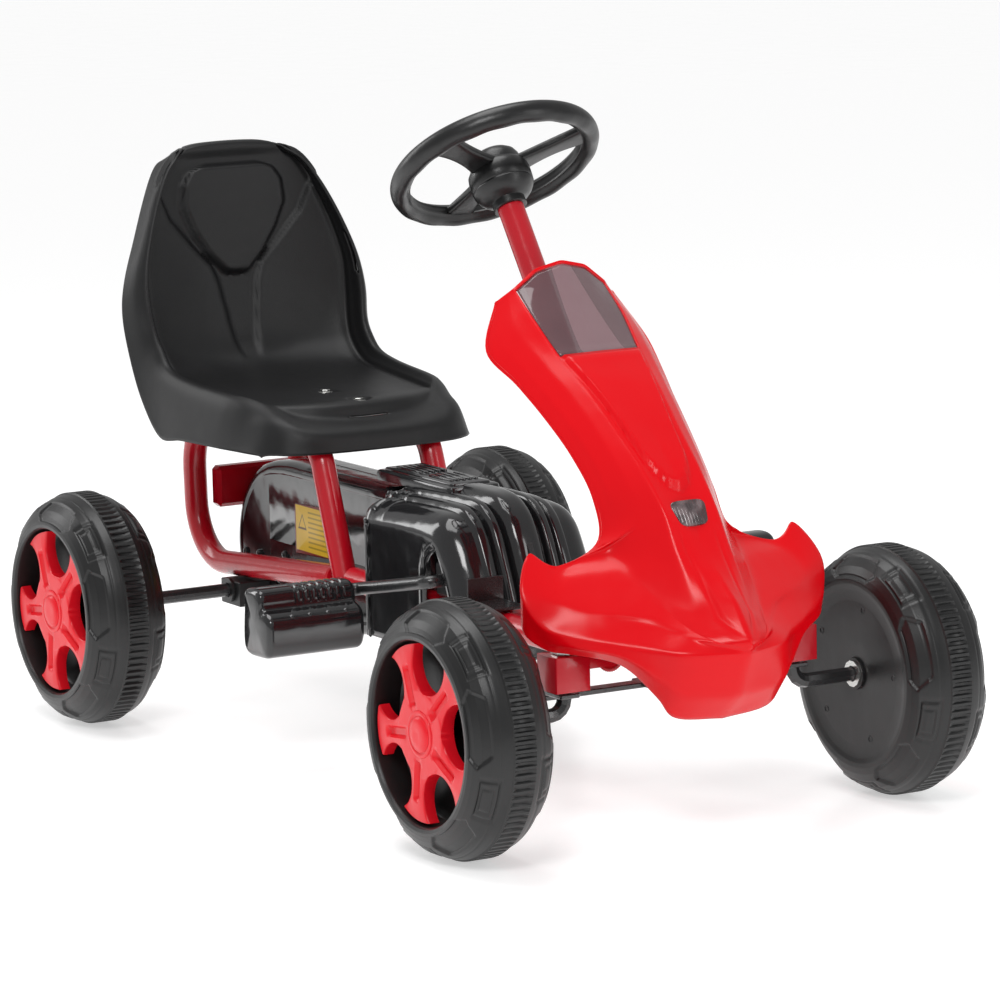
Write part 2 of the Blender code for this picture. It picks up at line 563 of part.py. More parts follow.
def engine_cover():
    """The cover styled as an engine: a rounded hood, open below, that stands over the crank."""
    low, high = Vector((-0.100, -0.0800, 0.1180)), Vector((0.126, 0.0800, 0.2610))
    bm = bmesh.new()
    size, middle = high - low, (high + low) / 2
    bmesh.ops.create_cube(bm, size=1, matrix=Matrix.Translation(middle) @ Matrix.Diagonal((*size, 1)))
    bottom = [f for f in bm.faces if f.normal.z < -0.9]
    bmesh.ops.delete(bm, geom=bottom, context="FACES")
    top_edges = [e for e in bm.edges if all(v.co.z > middle.z for v in e.verts)]
    corner_edges = [e for e in bm.edges if abs(e.verts[0].co.z - e.verts[1].co.z) > 0.01]
    bmesh.ops.bevel(bm, geom=top_edges + corner_edges, offset=0.026, segments=3, profile=0.5,
                    affect="EDGES")
    cover = place(from_bmesh("engine_cover", bm), GLOSS_BLACK)
    wall = cover.modifiers.new("wall", "SOLIDIFY")
    wall.thickness = SHELL_THICK
    wall.offset = -1
    arch_radius, arch_top = 0.029, 0.2230
    arch_centre = arch_top - arch_radius
    cut_rod(cover, (CRANK_X, -0.12, arch_centre), (CRANK_X, 0.12, arch_centre), arch_radius, 20)
    cut_block(cover, (CRANK_X - arch_radius, -0.12, 0.10), (CRANK_X + arch_radius, 0.12, arch_centre))
    cut_block(cover, (-0.12, -0.0765, 0.10), (0.15, 0.0765, 0.1790))
    cut_block(cover, (-0.12, -0.0345, 0.10), (-0.05, 0.0345, 0.2590))
    intake = block("intake_cap", (-0.150, -0.030, 0.2625), (0.004, 0.030, 0.2745), 0.003)
    place(intake, GLOSS_BLACK)
    bracket = block("cover_bracket", (0.128, -0.084, 0.1790), (0.176, -0.044, 0.1822), 0.0008)
    upright = block("cover_bracket_tab", (0.1290, -0.084, 0.1812), (0.1320, -0.044, 0.2050), 0.0005)
    place(joined(bracket, upright), BLACK_STEEL)


# ---------------------------------------------------------------- bonnet
def bonnet_rows():
    """Half rows from the centre line out over the side to the foot, from the top rim to the nose.

    The last row lies in the middle plane, where the two halves meet at the front of the nose."""
    # centre (x, z), crease, edge and foot (x, y, z), bulge of the side between crease and edge
    stations = [((0.1650, 0.5165), (0.1680, 0.046, 0.5010), (0.1560, 0.064, 0.4800), None, 0.002),
                ((0.1740, 0.5135), (0.1750, 0.050, 0.4930), (0.1640, 0.070, 0.4700), None, 0.003),
                ((0.2150, 0.4680), (0.2100, 0.049, 0.4620), (0.1850, 0.089, 0.4320), None, 0.004),
                ((0.2500, 0.4310), (0.2480, 0.044, 0.4300), (0.2280, 0.081, 0.4040), None, 0.005),
                ((0.2930, 0.3990), (0.2910, 0.038, 0.4000), (0.2680, 0.073, 0.3740), None, 0.005),
                ((0.3340, 0.3640), (0.3310, 0.033, 0.3680), (0.3060, 0.068, 0.3430), None, 0.005),
                ((0.3820, 0.3200), (0.3700, 0.030, 0.3360), (0.3380, 0.066, 0.3080), None, 0.004),
                ((0.4080, 0.2890), (0.4040, 0.028, 0.3010), (0.3560, 0.074, 0.2700), None, 0.000),
                ((0.4300, 0.2640), (0.4220, 0.029, 0.2720), (0.3590, 0.100, 0.2540),
                 (0.361, 0.100, 0.2360), -0.014),
                ((0.4500, 0.2480), (0.4370, 0.029, 0.2500), (0.3540, 0.143, 0.2700),
                 (0.354, 0.149, 0.2220), -0.026),
                ((0.4660, 0.2360), (0.4480, 0.030, 0.2320), (0.3720, 0.169, 0.2380),
                 (0.372, 0.163, 0.2000), -0.016),
                ((0.4780, 0.2270), (0.4560, 0.032, 0.2180), (0.3900, 0.158, 0.2080),
                 (0.389, 0.149, 0.1840), -0.004),
                ((0.4880, 0.2160), (0.4640, 0.035, 0.2060), (0.4070, 0.139, 0.2000),
                 (0.403, 0.131, 0.1800), 0.0),
                ((0.4960, 0.2060), (0.4700, 0.036, 0.1980), (0.4330, 0.107, 0.1930),
                 (0.430, 0.094, 0.1700), 0.0),
                ((0.5020, 0.1980), (0.4800, 0.032, 0.1920), (0.4560, 0.074, 0.1870),
                 (0.448, 0.059, 0.1450), 0.0),
                ((0.5045, 0.1940), (0.4940, 0.020, 0.1880), (0.4820, 0.041, 0.1820),
                 (0.451, 0.044, 0.1240), 0.0),
                ((0.5050, 0.1900), (0.5040, 0.000, 0.1860), (0.5010, 0.000, 0.1800),
                 (0.453, 0.000, 0.1110), 0.0)]
    rows = []
    for (cx, cz), crease, edge, foot, bulge in stations:
        crease, edge = Vector(crease), Vector(edge)
        fold = 0.006 if foot is None else 0.0
        foot = Vector(foot) if foot else edge - Vector((0, fold, 0))
        half = [Vector((cx, 0, cz)), Vector(((cx + crease.x) / 2, crease.y * 0.55, (cz + crease.z) / 2)),
                crease]
        for share in (0.35, 0.7):
            point = crease.lerp(edge, share)
            half.append(point + Vector((0, 0.3, 1)).normalized() * bulge * 4 * share * (1 - share))
        knee = edge.lerp(foot, 0.6) + Vector((0.012 if edge.x > 0.44 else 0, 0, 0))
        half += [edge, knee, foot]
        rows.append([tuple(p) for p in half])
    return rows


def bonnet():
    rows = [mirrored(row) for row in bonnet_rows()]
    middle = len(rows[0]) // 2
    glazed = {(i, j) for i in (1, 2) for j in range(middle - 2, middle + 2)}
    sheet("bonnet", rows, RED_PLASTIC, SHELL_THICK, skip=glazed)


def windshield():
    """The smoked window, a thin sheet set into the opening with a small gap all round."""
    rows = [mirrored(row[:3]) for row in bonnet_rows()[1:4]]
    centre = Vector(rows[1][2])
    inset = 0.965
    pane = [[tuple(centre + (Vector(p) - centre) * inset) for p in row] for row in rows]
    sheet("windshield", pane, SMOKED, 0.0015)


def headlight():
    """The clear lens under the tip of the bonnet's centre panel, laid on the slope."""
    slope = Matrix.Rotation(math.radians(49), 4, "Y")
    lens = block("headlight_lens", (0.3965, -0.0150, 0.3035), (0.4245, 0.0150, 0.3065), 0.0008, slope)
    place(lens, LENS)


# ---------------------------------------------------------------- steering
UP = Vector((-math.sin(COLUMN_TILT), 0, math.cos(COLUMN_TILT)))  # along the column, to the driver
DOWN_BACK = Vector((-math.cos(COLUMN_TILT), 0, -math.sin(COLUMN_TILT)))
RIM_CENTRE = Vector((WHEEL_CENTRE[0], 0, WHEEL_CENTRE[1]))
TILT = Matrix.Rotation(-COLUMN_TILT, 4, "Y")


def column():
    """A tube that steps down to a rod whose end is bent into a lever and a pin."""
    pin_top = Vector((HALF_BASE - STEER_ARM, 0, TIE_ROD_Z)) + UP * 0.030
    along = (pin_top - RIM_CENTRE).dot(UP)
    lever_root = RIM_CENTRE + UP * along
    lower = bend([RIM_CENTRE - UP * 0.36, lever_root, pin_top, pin_top - UP * 0.041], 0.009, 3)
    stem = bar_mesh("steering_column", lower, 0.0060, 1)
    tube = rod("column_tube", RIM_CENTRE - UP * 0.0475, RIM_CENTRE - UP * 0.375, 0.013)
    place(joined(stem, tube), RED_PAINT)


def steering_wheel():
    """Rim, three spokes and a deep hub."""
    rim_radius, rim_thick = 0.097, 0.0090
    bpy.ops.mesh.primitive_torus_add(major_radius=rim_radius, minor_radius=rim_thick,
                                     major_segments=36, minor_segments=8)
    rim = bpy.context.object
    rim.name = "steering_wheel"
    place_at = Matrix.Translation(RIM_CENTRE) @ TILT
    rim.data.transform(place_at)
    pieces = [rod("wheel_hub", RIM_CENTRE - UP * 0.047, RIM_CENTRE + UP * 0.006, 0.024, 20)]
    for k in range(3):
        spoke = block(f"wheel_spoke_{k}", (0.015, -0.011, -0.0045), (0.096, 0.011, 0.0045), 0.002)
        spoke.data.transform(place_at @ Matrix.Rotation(math.pi + k * math.tau / 3, 4, "Z"))
        pieces.append(spoke)
    joined(rim, *pieces)
    place(rim, MATTE_BLACK)


def column_bracket():
    """A housing square to the column, welded to a cross tube between the front rails."""
    reach = RAIL_Y - RAIL_RADIUS - 0.0006
    seat_point = RIM_CENTRE - UP * 0.462
    tube = rod("column_bracket", (0.286, -reach, 0.164), (0.286, reach, 0.164), 0.010, 12)
    housing = rod("column_housing", seat_point - UP * 0.012, seat_point + UP * 0.014, 0.017)
    web = block("column_web", (0.284, -0.016, 0.166), (0.290, 0.016, 0.236), 0.001)
    foot = block("column_foot", (0.285, -0.016, 0.2180), (0.316, 0.016, 0.2240), 0.001)
    joined(tube, housing, web, foot)
    cut_rod(tube, seat_point - UP * 0.05, seat_point + UP * 0.05, 0.0098)
    place(tube, RED_PAINT)
    sleeve = rod("column_bush", seat_point - UP * 0.010, seat_point + UP * 0.0175, 0.0093)
    cut_rod(sleeve, seat_point - UP * 0.05, seat_point + UP * 0.05, 0.0060 + 2 * RUN)
    place(sleeve, GLOSS_BLACK)


def knuckles():
    """A kingpin bent outwards into the stub axle, with a steering arm and its pin welded on."""
    for side, sign in (("right", -1), ("left", 1)):
        y = sign * KINGPIN_Y
        reach = sign * (FRONT_TRACK + 0.024)
        path = bend([(HALF_BASE, y, 0.1905), (HALF_BASE, y, WHEEL_RADIUS),
                     (HALF_BASE, reach, WHEEL_RADIUS)], 0.015, 4)
        stub = bar_mesh(f"knuckle_{side}", path, AXLE_RADIUS, 2)
        arm_x = HALF_BASE - STEER_ARM
        arm = block(f"steering_arm_{side}", (arm_x - 0.010, y - 0.0105, 0.1360),
                    (HALF_BASE + 0.012, y + 0.0105, 0.1405), 0.001)
        pin = rod(f"steering_pin_{side}", (arm_x, y, 0.1210), (arm_x, y, 0.1380), 0.0040, 12)
        joined(stub, arm, pin)
        place(stub, BLACK_STEEL)
        nut = rod(f"kingpin_nut_{side}", (HALF_BASE, y, 0.1772), (HALF_BASE, y, 0.1850), 0.0118, 6)
        cut_rod(nut, (HALF_BASE, y, 0.16), (HALF_BASE, y, 0.21), AXLE_RADIUS + RUN)
        place(nut, BRIGHT_STEEL)


def tie_rod():
    """A flat bar with a hole for each steering arm's pin and a slot for the column's pin."""
    x, thick = HALF_BASE - STEER_ARM, 0.0050
    low, high = TIE_ROD_Z - thick / 2, TIE_ROD_Z + thick / 2
    strip = block("tie_rod", (x - 0.008, -0.137, low), (x + 0.008, 0.137, high), 0.0008)
    boss = block("tie_rod_boss", (x - 0.016, -0.016, low), (x + 0.016, 0.016, high), 0.0008)
    joined(strip, boss)
    for y in (-KINGPIN_Y, KINGPIN_Y):
        cut_rod(strip, (x, y, 0.10), (x, y, 0.15), 0.0047, 12)
    cut_block(strip, (x - 0.0112, -0.0068, 0.10), (x + 0.0112, 0.0068, 0.15))
    place(strip, BLACK_STEEL)


frame_tubes()
cross_members()
seat_bracket()
seat()
seat_bolts()
wheels()
front_washers()
rear_axle()
sprocket("rear_sprocket", (-HALF_BASE, WHEEL_RADIUS), REAR_TEETH, AXLE_RADIUS)
sprocket("crank_sprocket", (CRANK_X, CRANK_Z), CRANK_TEETH, CRANK_BAR)
chain()
crank()
pedals()
chain_case()
engine_cover()
bonnet()
windshield()
headlight()
column()
steering_wheel()
column_bracket()
knuckles()
tie_rod()
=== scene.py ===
import math

import bpy
import bmesh
import numpy as np
from mathutils import Matrix, Vector


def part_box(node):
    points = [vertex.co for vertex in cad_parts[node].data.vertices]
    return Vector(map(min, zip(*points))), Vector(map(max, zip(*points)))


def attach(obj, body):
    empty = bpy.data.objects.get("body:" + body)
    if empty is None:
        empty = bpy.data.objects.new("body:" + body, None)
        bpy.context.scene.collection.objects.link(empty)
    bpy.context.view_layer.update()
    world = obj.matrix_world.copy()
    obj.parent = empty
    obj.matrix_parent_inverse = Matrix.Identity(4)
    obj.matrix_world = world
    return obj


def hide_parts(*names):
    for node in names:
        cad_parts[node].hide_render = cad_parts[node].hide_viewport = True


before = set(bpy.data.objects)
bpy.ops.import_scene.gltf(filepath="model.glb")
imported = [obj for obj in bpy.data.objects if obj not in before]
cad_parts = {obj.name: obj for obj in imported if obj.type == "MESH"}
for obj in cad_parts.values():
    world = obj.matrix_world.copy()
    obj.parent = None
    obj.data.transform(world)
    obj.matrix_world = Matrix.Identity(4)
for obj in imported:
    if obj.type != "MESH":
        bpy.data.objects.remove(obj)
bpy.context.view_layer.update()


# -------- studio
# A white sweep, a broad soft light overhead, a key from the front and two strips that draw the
# long highlights down the moulded panels. X runs forward from the middle of the wheelbase.
def middle_of_wheelbase():
    """The mean x of the front and rear tyres' boxes."""
    corners = [*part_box("tyre_front_left"), *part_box("tyre_rear_left")]
    return sum(corner.x for corner in corners) / 4


MIDDLE = middle_of_wheelbase()


def set_camera():
    """The camera looks along yaw and pitch, turned by roll about its own line of sight."""
    yaw, pitch, roll = 2.6198, -.1627, -.0221
    ahead = Vector((math.cos(pitch) * math.cos(yaw), math.cos(pitch) * math.sin(yaw), math.sin(pitch)))
    level = ahead.cross(Vector((0, 0, 1))).normalized()
    over = level.cross(ahead)
    right = level * math.cos(roll) + over * math.sin(roll)
    up = over * math.cos(roll) - level * math.sin(roll)
    camera = bpy.data.objects.new("camera", bpy.data.cameras.new("camera"))
    bpy.context.scene.collection.objects.link(camera)
    turn = Matrix((right, up, -ahead)).transposed().to_4x4()
    camera.matrix_world = Matrix.Translation((4.2887 + MIDDLE, -2.4358, 1.0659)) @ turn
    camera.data.sensor_width = 36.0
    camera.data.lens = 181.65
    camera.data.clip_end = 200.0
    bpy.context.scene.camera = camera


class Wire:
    """A number on its way through a finish's nodes; + - * / on it add Math nodes."""

    def __init__(self, finish, socket):
        self.finish, self.socket = finish, socket

    def maths(self, operation, first, second=0.0):
        return self.finish.node("ShaderNodeMath", {"operation": operation}, {0: first, 1: second})

    def __add__(self, other):
        return self.maths("ADD", self, other)

    __radd__ = __add__

    def __sub__(self, other):
        return self.maths("SUBTRACT", self, other)

    def __rsub__(self, other):
        return self.maths("SUBTRACT", other, self)

    def __mul__(self, other):
        return self.maths("MULTIPLY", self, other)

    __rmul__ = __mul__

    def __truediv__(self, other):
        return self.maths("DIVIDE", self, other)

    def __abs__(self):
        return self.maths("ABSOLUTE", self)


class Finish:
    """A surface finish: constants on its shader, and nodes for what changes over the surface."""

    def __init__(self, name, **sockets):
        self.material = bpy.data.materials.new(name)
        self.material.use_nodes = True
        self.tree = self.material.node_tree
        self.shader = self.tree.nodes["Principled BSDF"]
        for socket, value in sockets.items():
            self.shader.inputs[socket.replace("_", " ")].default_value = value
        self.place = self.node("ShaderNodeTexCoord", {}, {}, "Object")
        self.relief = None

    def node(self, kind, settings, sockets, output=0):
        """A node of a kind: its settings first, then the values or links of its sockets."""
        made = self.tree.nodes.new(kind)
        for key, value in settings.items():
            setattr(made, key, value)
        for key, value in sockets.items():
            if isinstance(value, Wire):
                self.tree.links.new(value.socket, made.inputs[key])
            else:
                made.inputs[key].default_value = value
        return Wire(self, made.outputs[output])

    def noise(self, scale, detail=2.0):
        return self.node("ShaderNodeTexNoise", {}, {"Vector": self.place, "Scale": scale, "Detail": detail})

    def mix(self, share, first, second):
        """The first colour where share is 0, the second where it is 1."""
        return self.node("ShaderNodeMix", {"data_type": "RGBA"}, {0: share, 6: first, 7: second}, 2)

    def step(self, value, low, high):
        """0 below low, 1 above high and a smooth run between."""
        return self.node("ShaderNodeMapRange", {"interpolation_type": "SMOOTHSTEP"},
                         {"Value": value, "From Min": low, "From Max": high})

    def axis(self, which, source=None):
        return self.node("ShaderNodeSeparateXYZ", {}, {0: source or self.place}, which)

    def bumps(self, height, depth):
        """Relief of a height from 0 to 1, depth in metres, laid over what is there."""
        sockets = {"Height": height, "Distance": depth, "Strength": 1.0}
        if self.relief:
            sockets["Normal"] = self.relief
        self.relief = self.node("ShaderNodeBump", {}, sockets)
        self.feed("Normal", self.relief)

    def feed(self, socket, wire):
        self.tree.links.new(wire.socket, self.shader.inputs[socket])


def shade(colour, by):
    """A colour times a number, with full alpha."""
    return (colour[0] * by, colour[1] * by, colour[2] * by, 1.0)


def surface(name, colour, roughness, grain=(900.0, .00004), wave=(45.0, 0), spread=.1, **sockets):
    """A finish of one colour: cloudy tone and gloss at hand scale, a fine grain and a slow wave."""
    made = Finish(name, **sockets)
    cloud = made.noise(14.0, 4.0)
    fine = made.noise(grain[0], 2.0)
    made.feed("Base Color", made.mix(cloud * .7 + fine * .3, shade(colour, 1 - spread),
                                     shade(colour, 1 + spread)))
    made.feed("Roughness", cloud * (.16 * roughness) + fine * (.14 * roughness) + roughness * .85)
    made.bumps(fine, grain[1])
    if wave[1]:
        made.bumps(made.noise(wave[0], 1.0), wave[1])
    return made


def lay_floor():
    """One broad white quad at the tyres' feet, which glows a little so that it stays white."""
    mesh = bpy.data.meshes.new("sweep")
    mesh.from_pydata([(-60, -60, 0), (60, -60, 0), (60, 60, 0), (-60, 60, 0)], [], [(0, 1, 2, 3)])
    sweep = bpy.data.objects.new("sweep", mesh)
    bpy.context.scene.collection.objects.link(sweep)
    mesh.materials.append(surface("sweep", (.93, .93, .93), .22, (300.0, 0), spread=.01,
                                  Specular_IOR_Level=.35, Emission_Color=(1, 1, 1, 1),
                                  Emission_Strength=.48).material)


def add_light(name, place, target, size, power):
    """A rectangular area light that looks from its place at the target."""
    lamp = bpy.data.lights.new(name, "AREA")
    lamp.shape = "RECTANGLE"
    lamp.size, lamp.size_y = size
    lamp.energy = power
    made = bpy.data.objects.new(name, lamp)
    bpy.context.scene.collection.objects.link(made)
    made.location = place
    made.rotation_euler = (Vector(target) - Vector(place)).to_track_quat("-Z", "Y").to_euler()


set_camera()
lay_floor()
world = bpy.data.worlds.new("studio")
world.use_nodes = True
world.node_tree.nodes["Background"].inputs["Color"].default_value = (1, 1, 1, 1)
world.node_tree.nodes["Background"].inputs["Strength"].default_value = .5
bpy.context.scene.world = world
bpy.context.scene.view_settings.view_transform = "Standard"
add_light("overhead", (-.3, -.2, 2.4), (0, 0, .2), (1.6, 1.2), 24)
add_light("key", (2.0, -1.5, 2.4), (0, 0, .3), (.9, .9), 30)
add_light("strip_front", (2.6, 1.2, 1.2), (.1, 0, .3), (.5, 1.8), 12)
add_light("strip_rear", (-2.2, -1.4, 1.5), (-.2, 0, .3), (.6, 1.8), 16)


# -------- frame tubes
# Round steel tube, bent cold and welded, then powder painted red: two rails, and a hoop and a
# post on each side that carry the seat. The front beam is a bar with a block at each end.
def piece(name, patches, finish, body, sharp=38.0, wall=0.0, facing=None):
    """A mesh from grids of points. Each grid's quads join a point to its neighbours, and a grid
    marked i or j also joins its last row or column to the first; a third item marks the quads to
    leave out. Doubles merge, then normals."""
    points, faces, count = [], [], 0
    for patch in patches:
        grid, round_trip, *gaps = patch if isinstance(patch, tuple) else (patch, "")
        rows, columns = grid.shape[:2]
        i, j = np.meshgrid(np.arange(rows - ("i" not in round_trip)),
                           np.arange(columns - ("j" not in round_trip)), indexing="ij")
        i, j, k, m = i.ravel(), j.ravel(), (i.ravel() + 1) % rows, (j.ravel() + 1) % columns
        quads = np.stack([i * columns + j, k * columns + j, k * columns + m, i * columns + m], -1)
        if gaps:
            quads = quads[~gaps[0].ravel()]
        faces += (quads + count).tolist()
        points.append(grid.reshape(-1, 3))
        count += rows * columns
    mesh = bpy.data.meshes.new(name)
    mesh.from_pydata((np.concatenate(points) + (MIDDLE, 0, 0)).tolist(), [], faces)
    bm = bmesh.new()
    bm.from_mesh(mesh)
    bmesh.ops.remove_doubles(bm, verts=bm.verts, dist=2e-6)
    bmesh.ops.dissolve_degenerate(bm, edges=bm.edges, dist=1e-7)
    bmesh.ops.delete(bm, geom=[v for v in bm.verts if not v.link_faces], context="VERTS")
    bmesh.ops.recalc_face_normals(bm, faces=bm.faces)
    if facing is not None and sum((f.normal.dot(Vector(facing)) * f.calc_area() for f in bm.faces)) < 0:
        bmesh.ops.reverse_faces(bm, faces=bm.faces)
    bm.to_mesh(mesh)
    bm.free()
    mesh.shade_smooth()
    mesh.set_sharp_from_angle(angle=math.radians(sharp))
    made = bpy.data.objects.new(name, mesh)
    bpy.context.scene.collection.objects.link(made)
    mesh.materials.append(finish.material)
    if wall:
        skin = made.modifiers.new("wall", "SOLIDIFY")
        skin.thickness, skin.offset, skin.use_even_offset = wall, -1.0, False
    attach(made, body)
    return made


def coat(finish, *names):
    """Gives the frame's own nodes a finish."""
    for name in names:
        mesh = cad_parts[name].data
        mesh.materials.clear()
        mesh.materials.append(finish.material)


def bent(corners, radius, steps=12):
    """Straight runs through the corners, each corner an arc of the radius that touches both runs."""
    corners = np.asarray(corners, float)
    points = [corners[:1]]
    for before, corner, after in zip(corners, corners[1:], corners[2:]):
        inward = (before - corner) / np.linalg.norm(before - corner)
        outward = (after - corner) / np.linalg.norm(after - corner)
        half = math.acos(np.clip(inward @ outward, -1, 1)) / 2
        middle = (inward + outward) / np.linalg.norm(inward + outward)
        centre = corner + middle * radius / math.sin(half)
        start = corner + inward * radius / math.tan(half) - centre
        stop = corner + outward * radius / math.tan(half) - centre
        sweep = math.acos(np.clip(start @ stop / radius ** 2, -1, 1))
        share = np.linspace(0, 1, steps)[:, None]
        points.append(centre + (start * np.sin(sweep * (1 - share)) + stop * np.sin(sweep * share))
                      / math.sin(sweep))
    return np.concatenate(points + [corners[-1:]])


def unit(vectors):
    """Vectors divided by their own lengths."""
    return vectors / np.maximum(np.linalg.norm(vectors, axis=-1, keepdims=True), 1e-12)


def around(count):
    """Angles evenly spaced over one turn, without the last, which is the first again."""
    return np.linspace(0, math.tau, count, endpoint=False)


def tube(path, radius, across, sides=36, flat=1.0, lip=.0015):
    """Circles of the radius square to a path that lies in a plane, whose normal is across; flat
    squeezes them along it. The ends round over by the lip and close on the path."""
    path = np.asarray(path, float)
    across = np.asarray(across, float)
    ahead = unit(np.gradient(path, axis=0))
    over = unit(np.cross(ahead, across))
    path = np.concatenate([path[:1], path[:1], path[:1] + ahead[:1] * lip, path[1:-1],
                           path[-1:] - ahead[-1:] * lip, path[-1:], path[-1:]])
    over = np.concatenate([over[:1], over[:1], over[:1], over[1:-1], over[-1:], over[-1:], over[-1:]])
    size = np.full(len(path), radius)
    size[[0, -1]], size[[1, -2]] = 0.0, radius - lip
    turn = around(sides)
    ring = (np.cos(turn)[None, :, None] * across * flat + np.sin(turn)[None, :, None] * over[:, None])
    return path[:, None] + ring * size[:, None, None], "j"


RED_PAINT = surface("red_paint", (.46, .003, .012), .24, (700.0, .00002), (60.0, .0005), .12,
                    Specular_IOR_Level=.4, Coat_Weight=.25, Coat_Roughness=.1)
RAIL_Y, RAIL_RADIUS, SEAT_RAIL_Z = .063, .0125, .298
for side, y in (("right", -RAIL_Y), ("left", RAIL_Y)):
    for name, path in (("front_rail", [(-.1388, y, .164), (.11, y, .164), (.3616, y, .164)]),
                       ("seat_hoop", bent([(-.1752, y, .1612), (-.487, y, .136),
                                           (-.493, y, SEAT_RAIL_Z), (-.26, y, SEAT_RAIL_Z)], .062)),
                       ("seat_post", bent([(-.1508, y, .146), (-.2065, y, SEAT_RAIL_Z),
                                           (-.2595, y, SEAT_RAIL_Z)], .04))):
        made = piece(f"{name}_tube_{side}", [tube(path, RAIL_RADIUS, (0, 1, 0))], RED_PAINT,
                     "frame")
        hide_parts(f"{name}_{side}")
coat(RED_PAINT, "rear_cross_tube", "mid_cross_tube", "seat_bracket", "column_bracket")


def weld(centre, axis, radius, thick=.0022):
    """A bead round a joint: a torus whose thickness ripples 40 times round, as a run of weld does."""
    axis = unit(np.asarray(axis, float))
    first = unit(np.cross(axis, (.3, 1.0, .2)))
    second = np.cross(axis, first)
    turn = around(120)[:, None]
    girth = around(10)[None, :]
    size = thick * (1 + .18 * np.sin(40 * turn)) + 0 * girth
    out = radius + size * np.cos(girth)
    return (np.asarray(centre) + (out * np.cos(turn))[..., None] * first
            + (out * np.sin(turn))[..., None] * second + (size * np.sin(girth))[..., None] * axis), "ij"


beads = [weld((-.156, sign * RAIL_Y, .16), (-.34, 0, .94), RAIL_RADIUS + .001) for sign in (-1, 1)]
beads += [weld((.3605, sign * RAIL_Y, .164), (1, 0, 0), RAIL_RADIUS) for sign in (-1, 1)]
piece("weld_beads", beads, RED_PAINT, "frame")


def lozenge(centre, along, across, size, corner, rise=.0006, segments=8):
    """A flat slab with a rounded rectangle for outline: size is length, width and height, and the
    top edge rounds over by rise. Its poles close it above and below."""
    along, across = unit(np.asarray(along, float)), unit(np.asarray(across, float))
    over = np.cross(along, across)
    turn = (np.arange(4 * segments) + .5) / (4 * segments) * math.tau
    quarter = np.floor(turn / (math.pi / 2))
    sx = np.where((quarter == 0) | (quarter == 3), 1, -1) * (size[0] / 2 - corner)
    sy = np.where(quarter < 2, 1, -1) * (size[1] / 2 - corner)
    rows = []
    top = size[2]
    for inset, height, keep in ((0, 0, 0), (0, 0, 1), (0, top - rise, 1), (rise * .3, top - rise * .3, 1),
                                (rise, top, 1), (0, top, 0)):
        a = (sx + np.cos(turn) * (corner - inset)) * keep
        b = (sy + np.sin(turn) * (corner - inset)) * keep
        rows.append(np.asarray(centre) + a[:, None] * along + b[:, None] * across + height * over)
    return np.stack(rows), "j"


bar = lozenge((.379, 0, .1625), (0, 1, 0), (-1, 0, 0), (.27, .032, .013), .003, .001)
beam = piece("front_beam_steel", [bar]
             + [lozenge((.37875, sign * .1245, .143), (0, 1, 0), (-1, 0, 0), (.037, .0355, .0335), .002, .001)
                for sign in (-1, 1)], RED_PAINT, "frame")
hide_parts("front_beam")


# -------- seat
# One bucket blow-moulded in matte black plastic with a fine leather grain: a dished pan that rolls
# down at the front, a tall back with a raised head pad and a sunk channel, and a rolled rim.
def through(points, steps):
    """A Catmull-Rom curve through rows of points: cubic between each pair, with its slope at a
    point half the step from the one before to the one after. steps samples per interval."""
    points = np.asarray(points, float)
    padded = np.concatenate([2 * points[:1] - points[1:2], points, 2 * points[-1:] - points[-2:-1]])
    at = np.arange((len(points) - 1) * steps + 1) / steps
    k = np.minimum(at.astype(int), len(points) - 2)
    f = (at - k).reshape(-1, *[1] * (points.ndim - 1))
    a, b, c, d = padded[k], padded[k + 1], padded[k + 2], padded[k + 3]
    return b + .5 * f * (c - a + f * (2 * a - 5 * b + 4 * c - d + f * (3 * (b - c) + d - a)))


def mirrored(half):
    """Half rows at y >= 0, centre first, made whole rows from +y to -y."""
    half = np.asarray(half, float)
    return np.concatenate([half[:, :0:-1], half * (1, -1, 1)], axis=1)


def ease(value, low, high):
    """0 below low, 1 above high and 3t^2 - 2t^3 between."""
    t = np.clip((value - low) / (high - low), 0, 1)
    return t * t * (3 - 2 * t)


def lifted(grid, height):
    """Each point of a grid moved along the grid's normal, the cross product of its two slopes."""
    normal = unit(np.cross(np.gradient(grid, axis=0), np.gradient(grid, axis=1)))
    return grid + normal * height[..., None], normal


def softened(grid, passes):
    """Each inner row moved to a quarter of both neighbours and half of itself, some times over."""
    for _ in range(passes):
        grid = np.concatenate([grid[:1], (grid[:-2] + 2 * grid[1:-1] + grid[2:]) / 4, grid[-1:]])
    return grid


SEAT_BOLTS = ((-.308, .3296), (-.236, .329))  # x and z
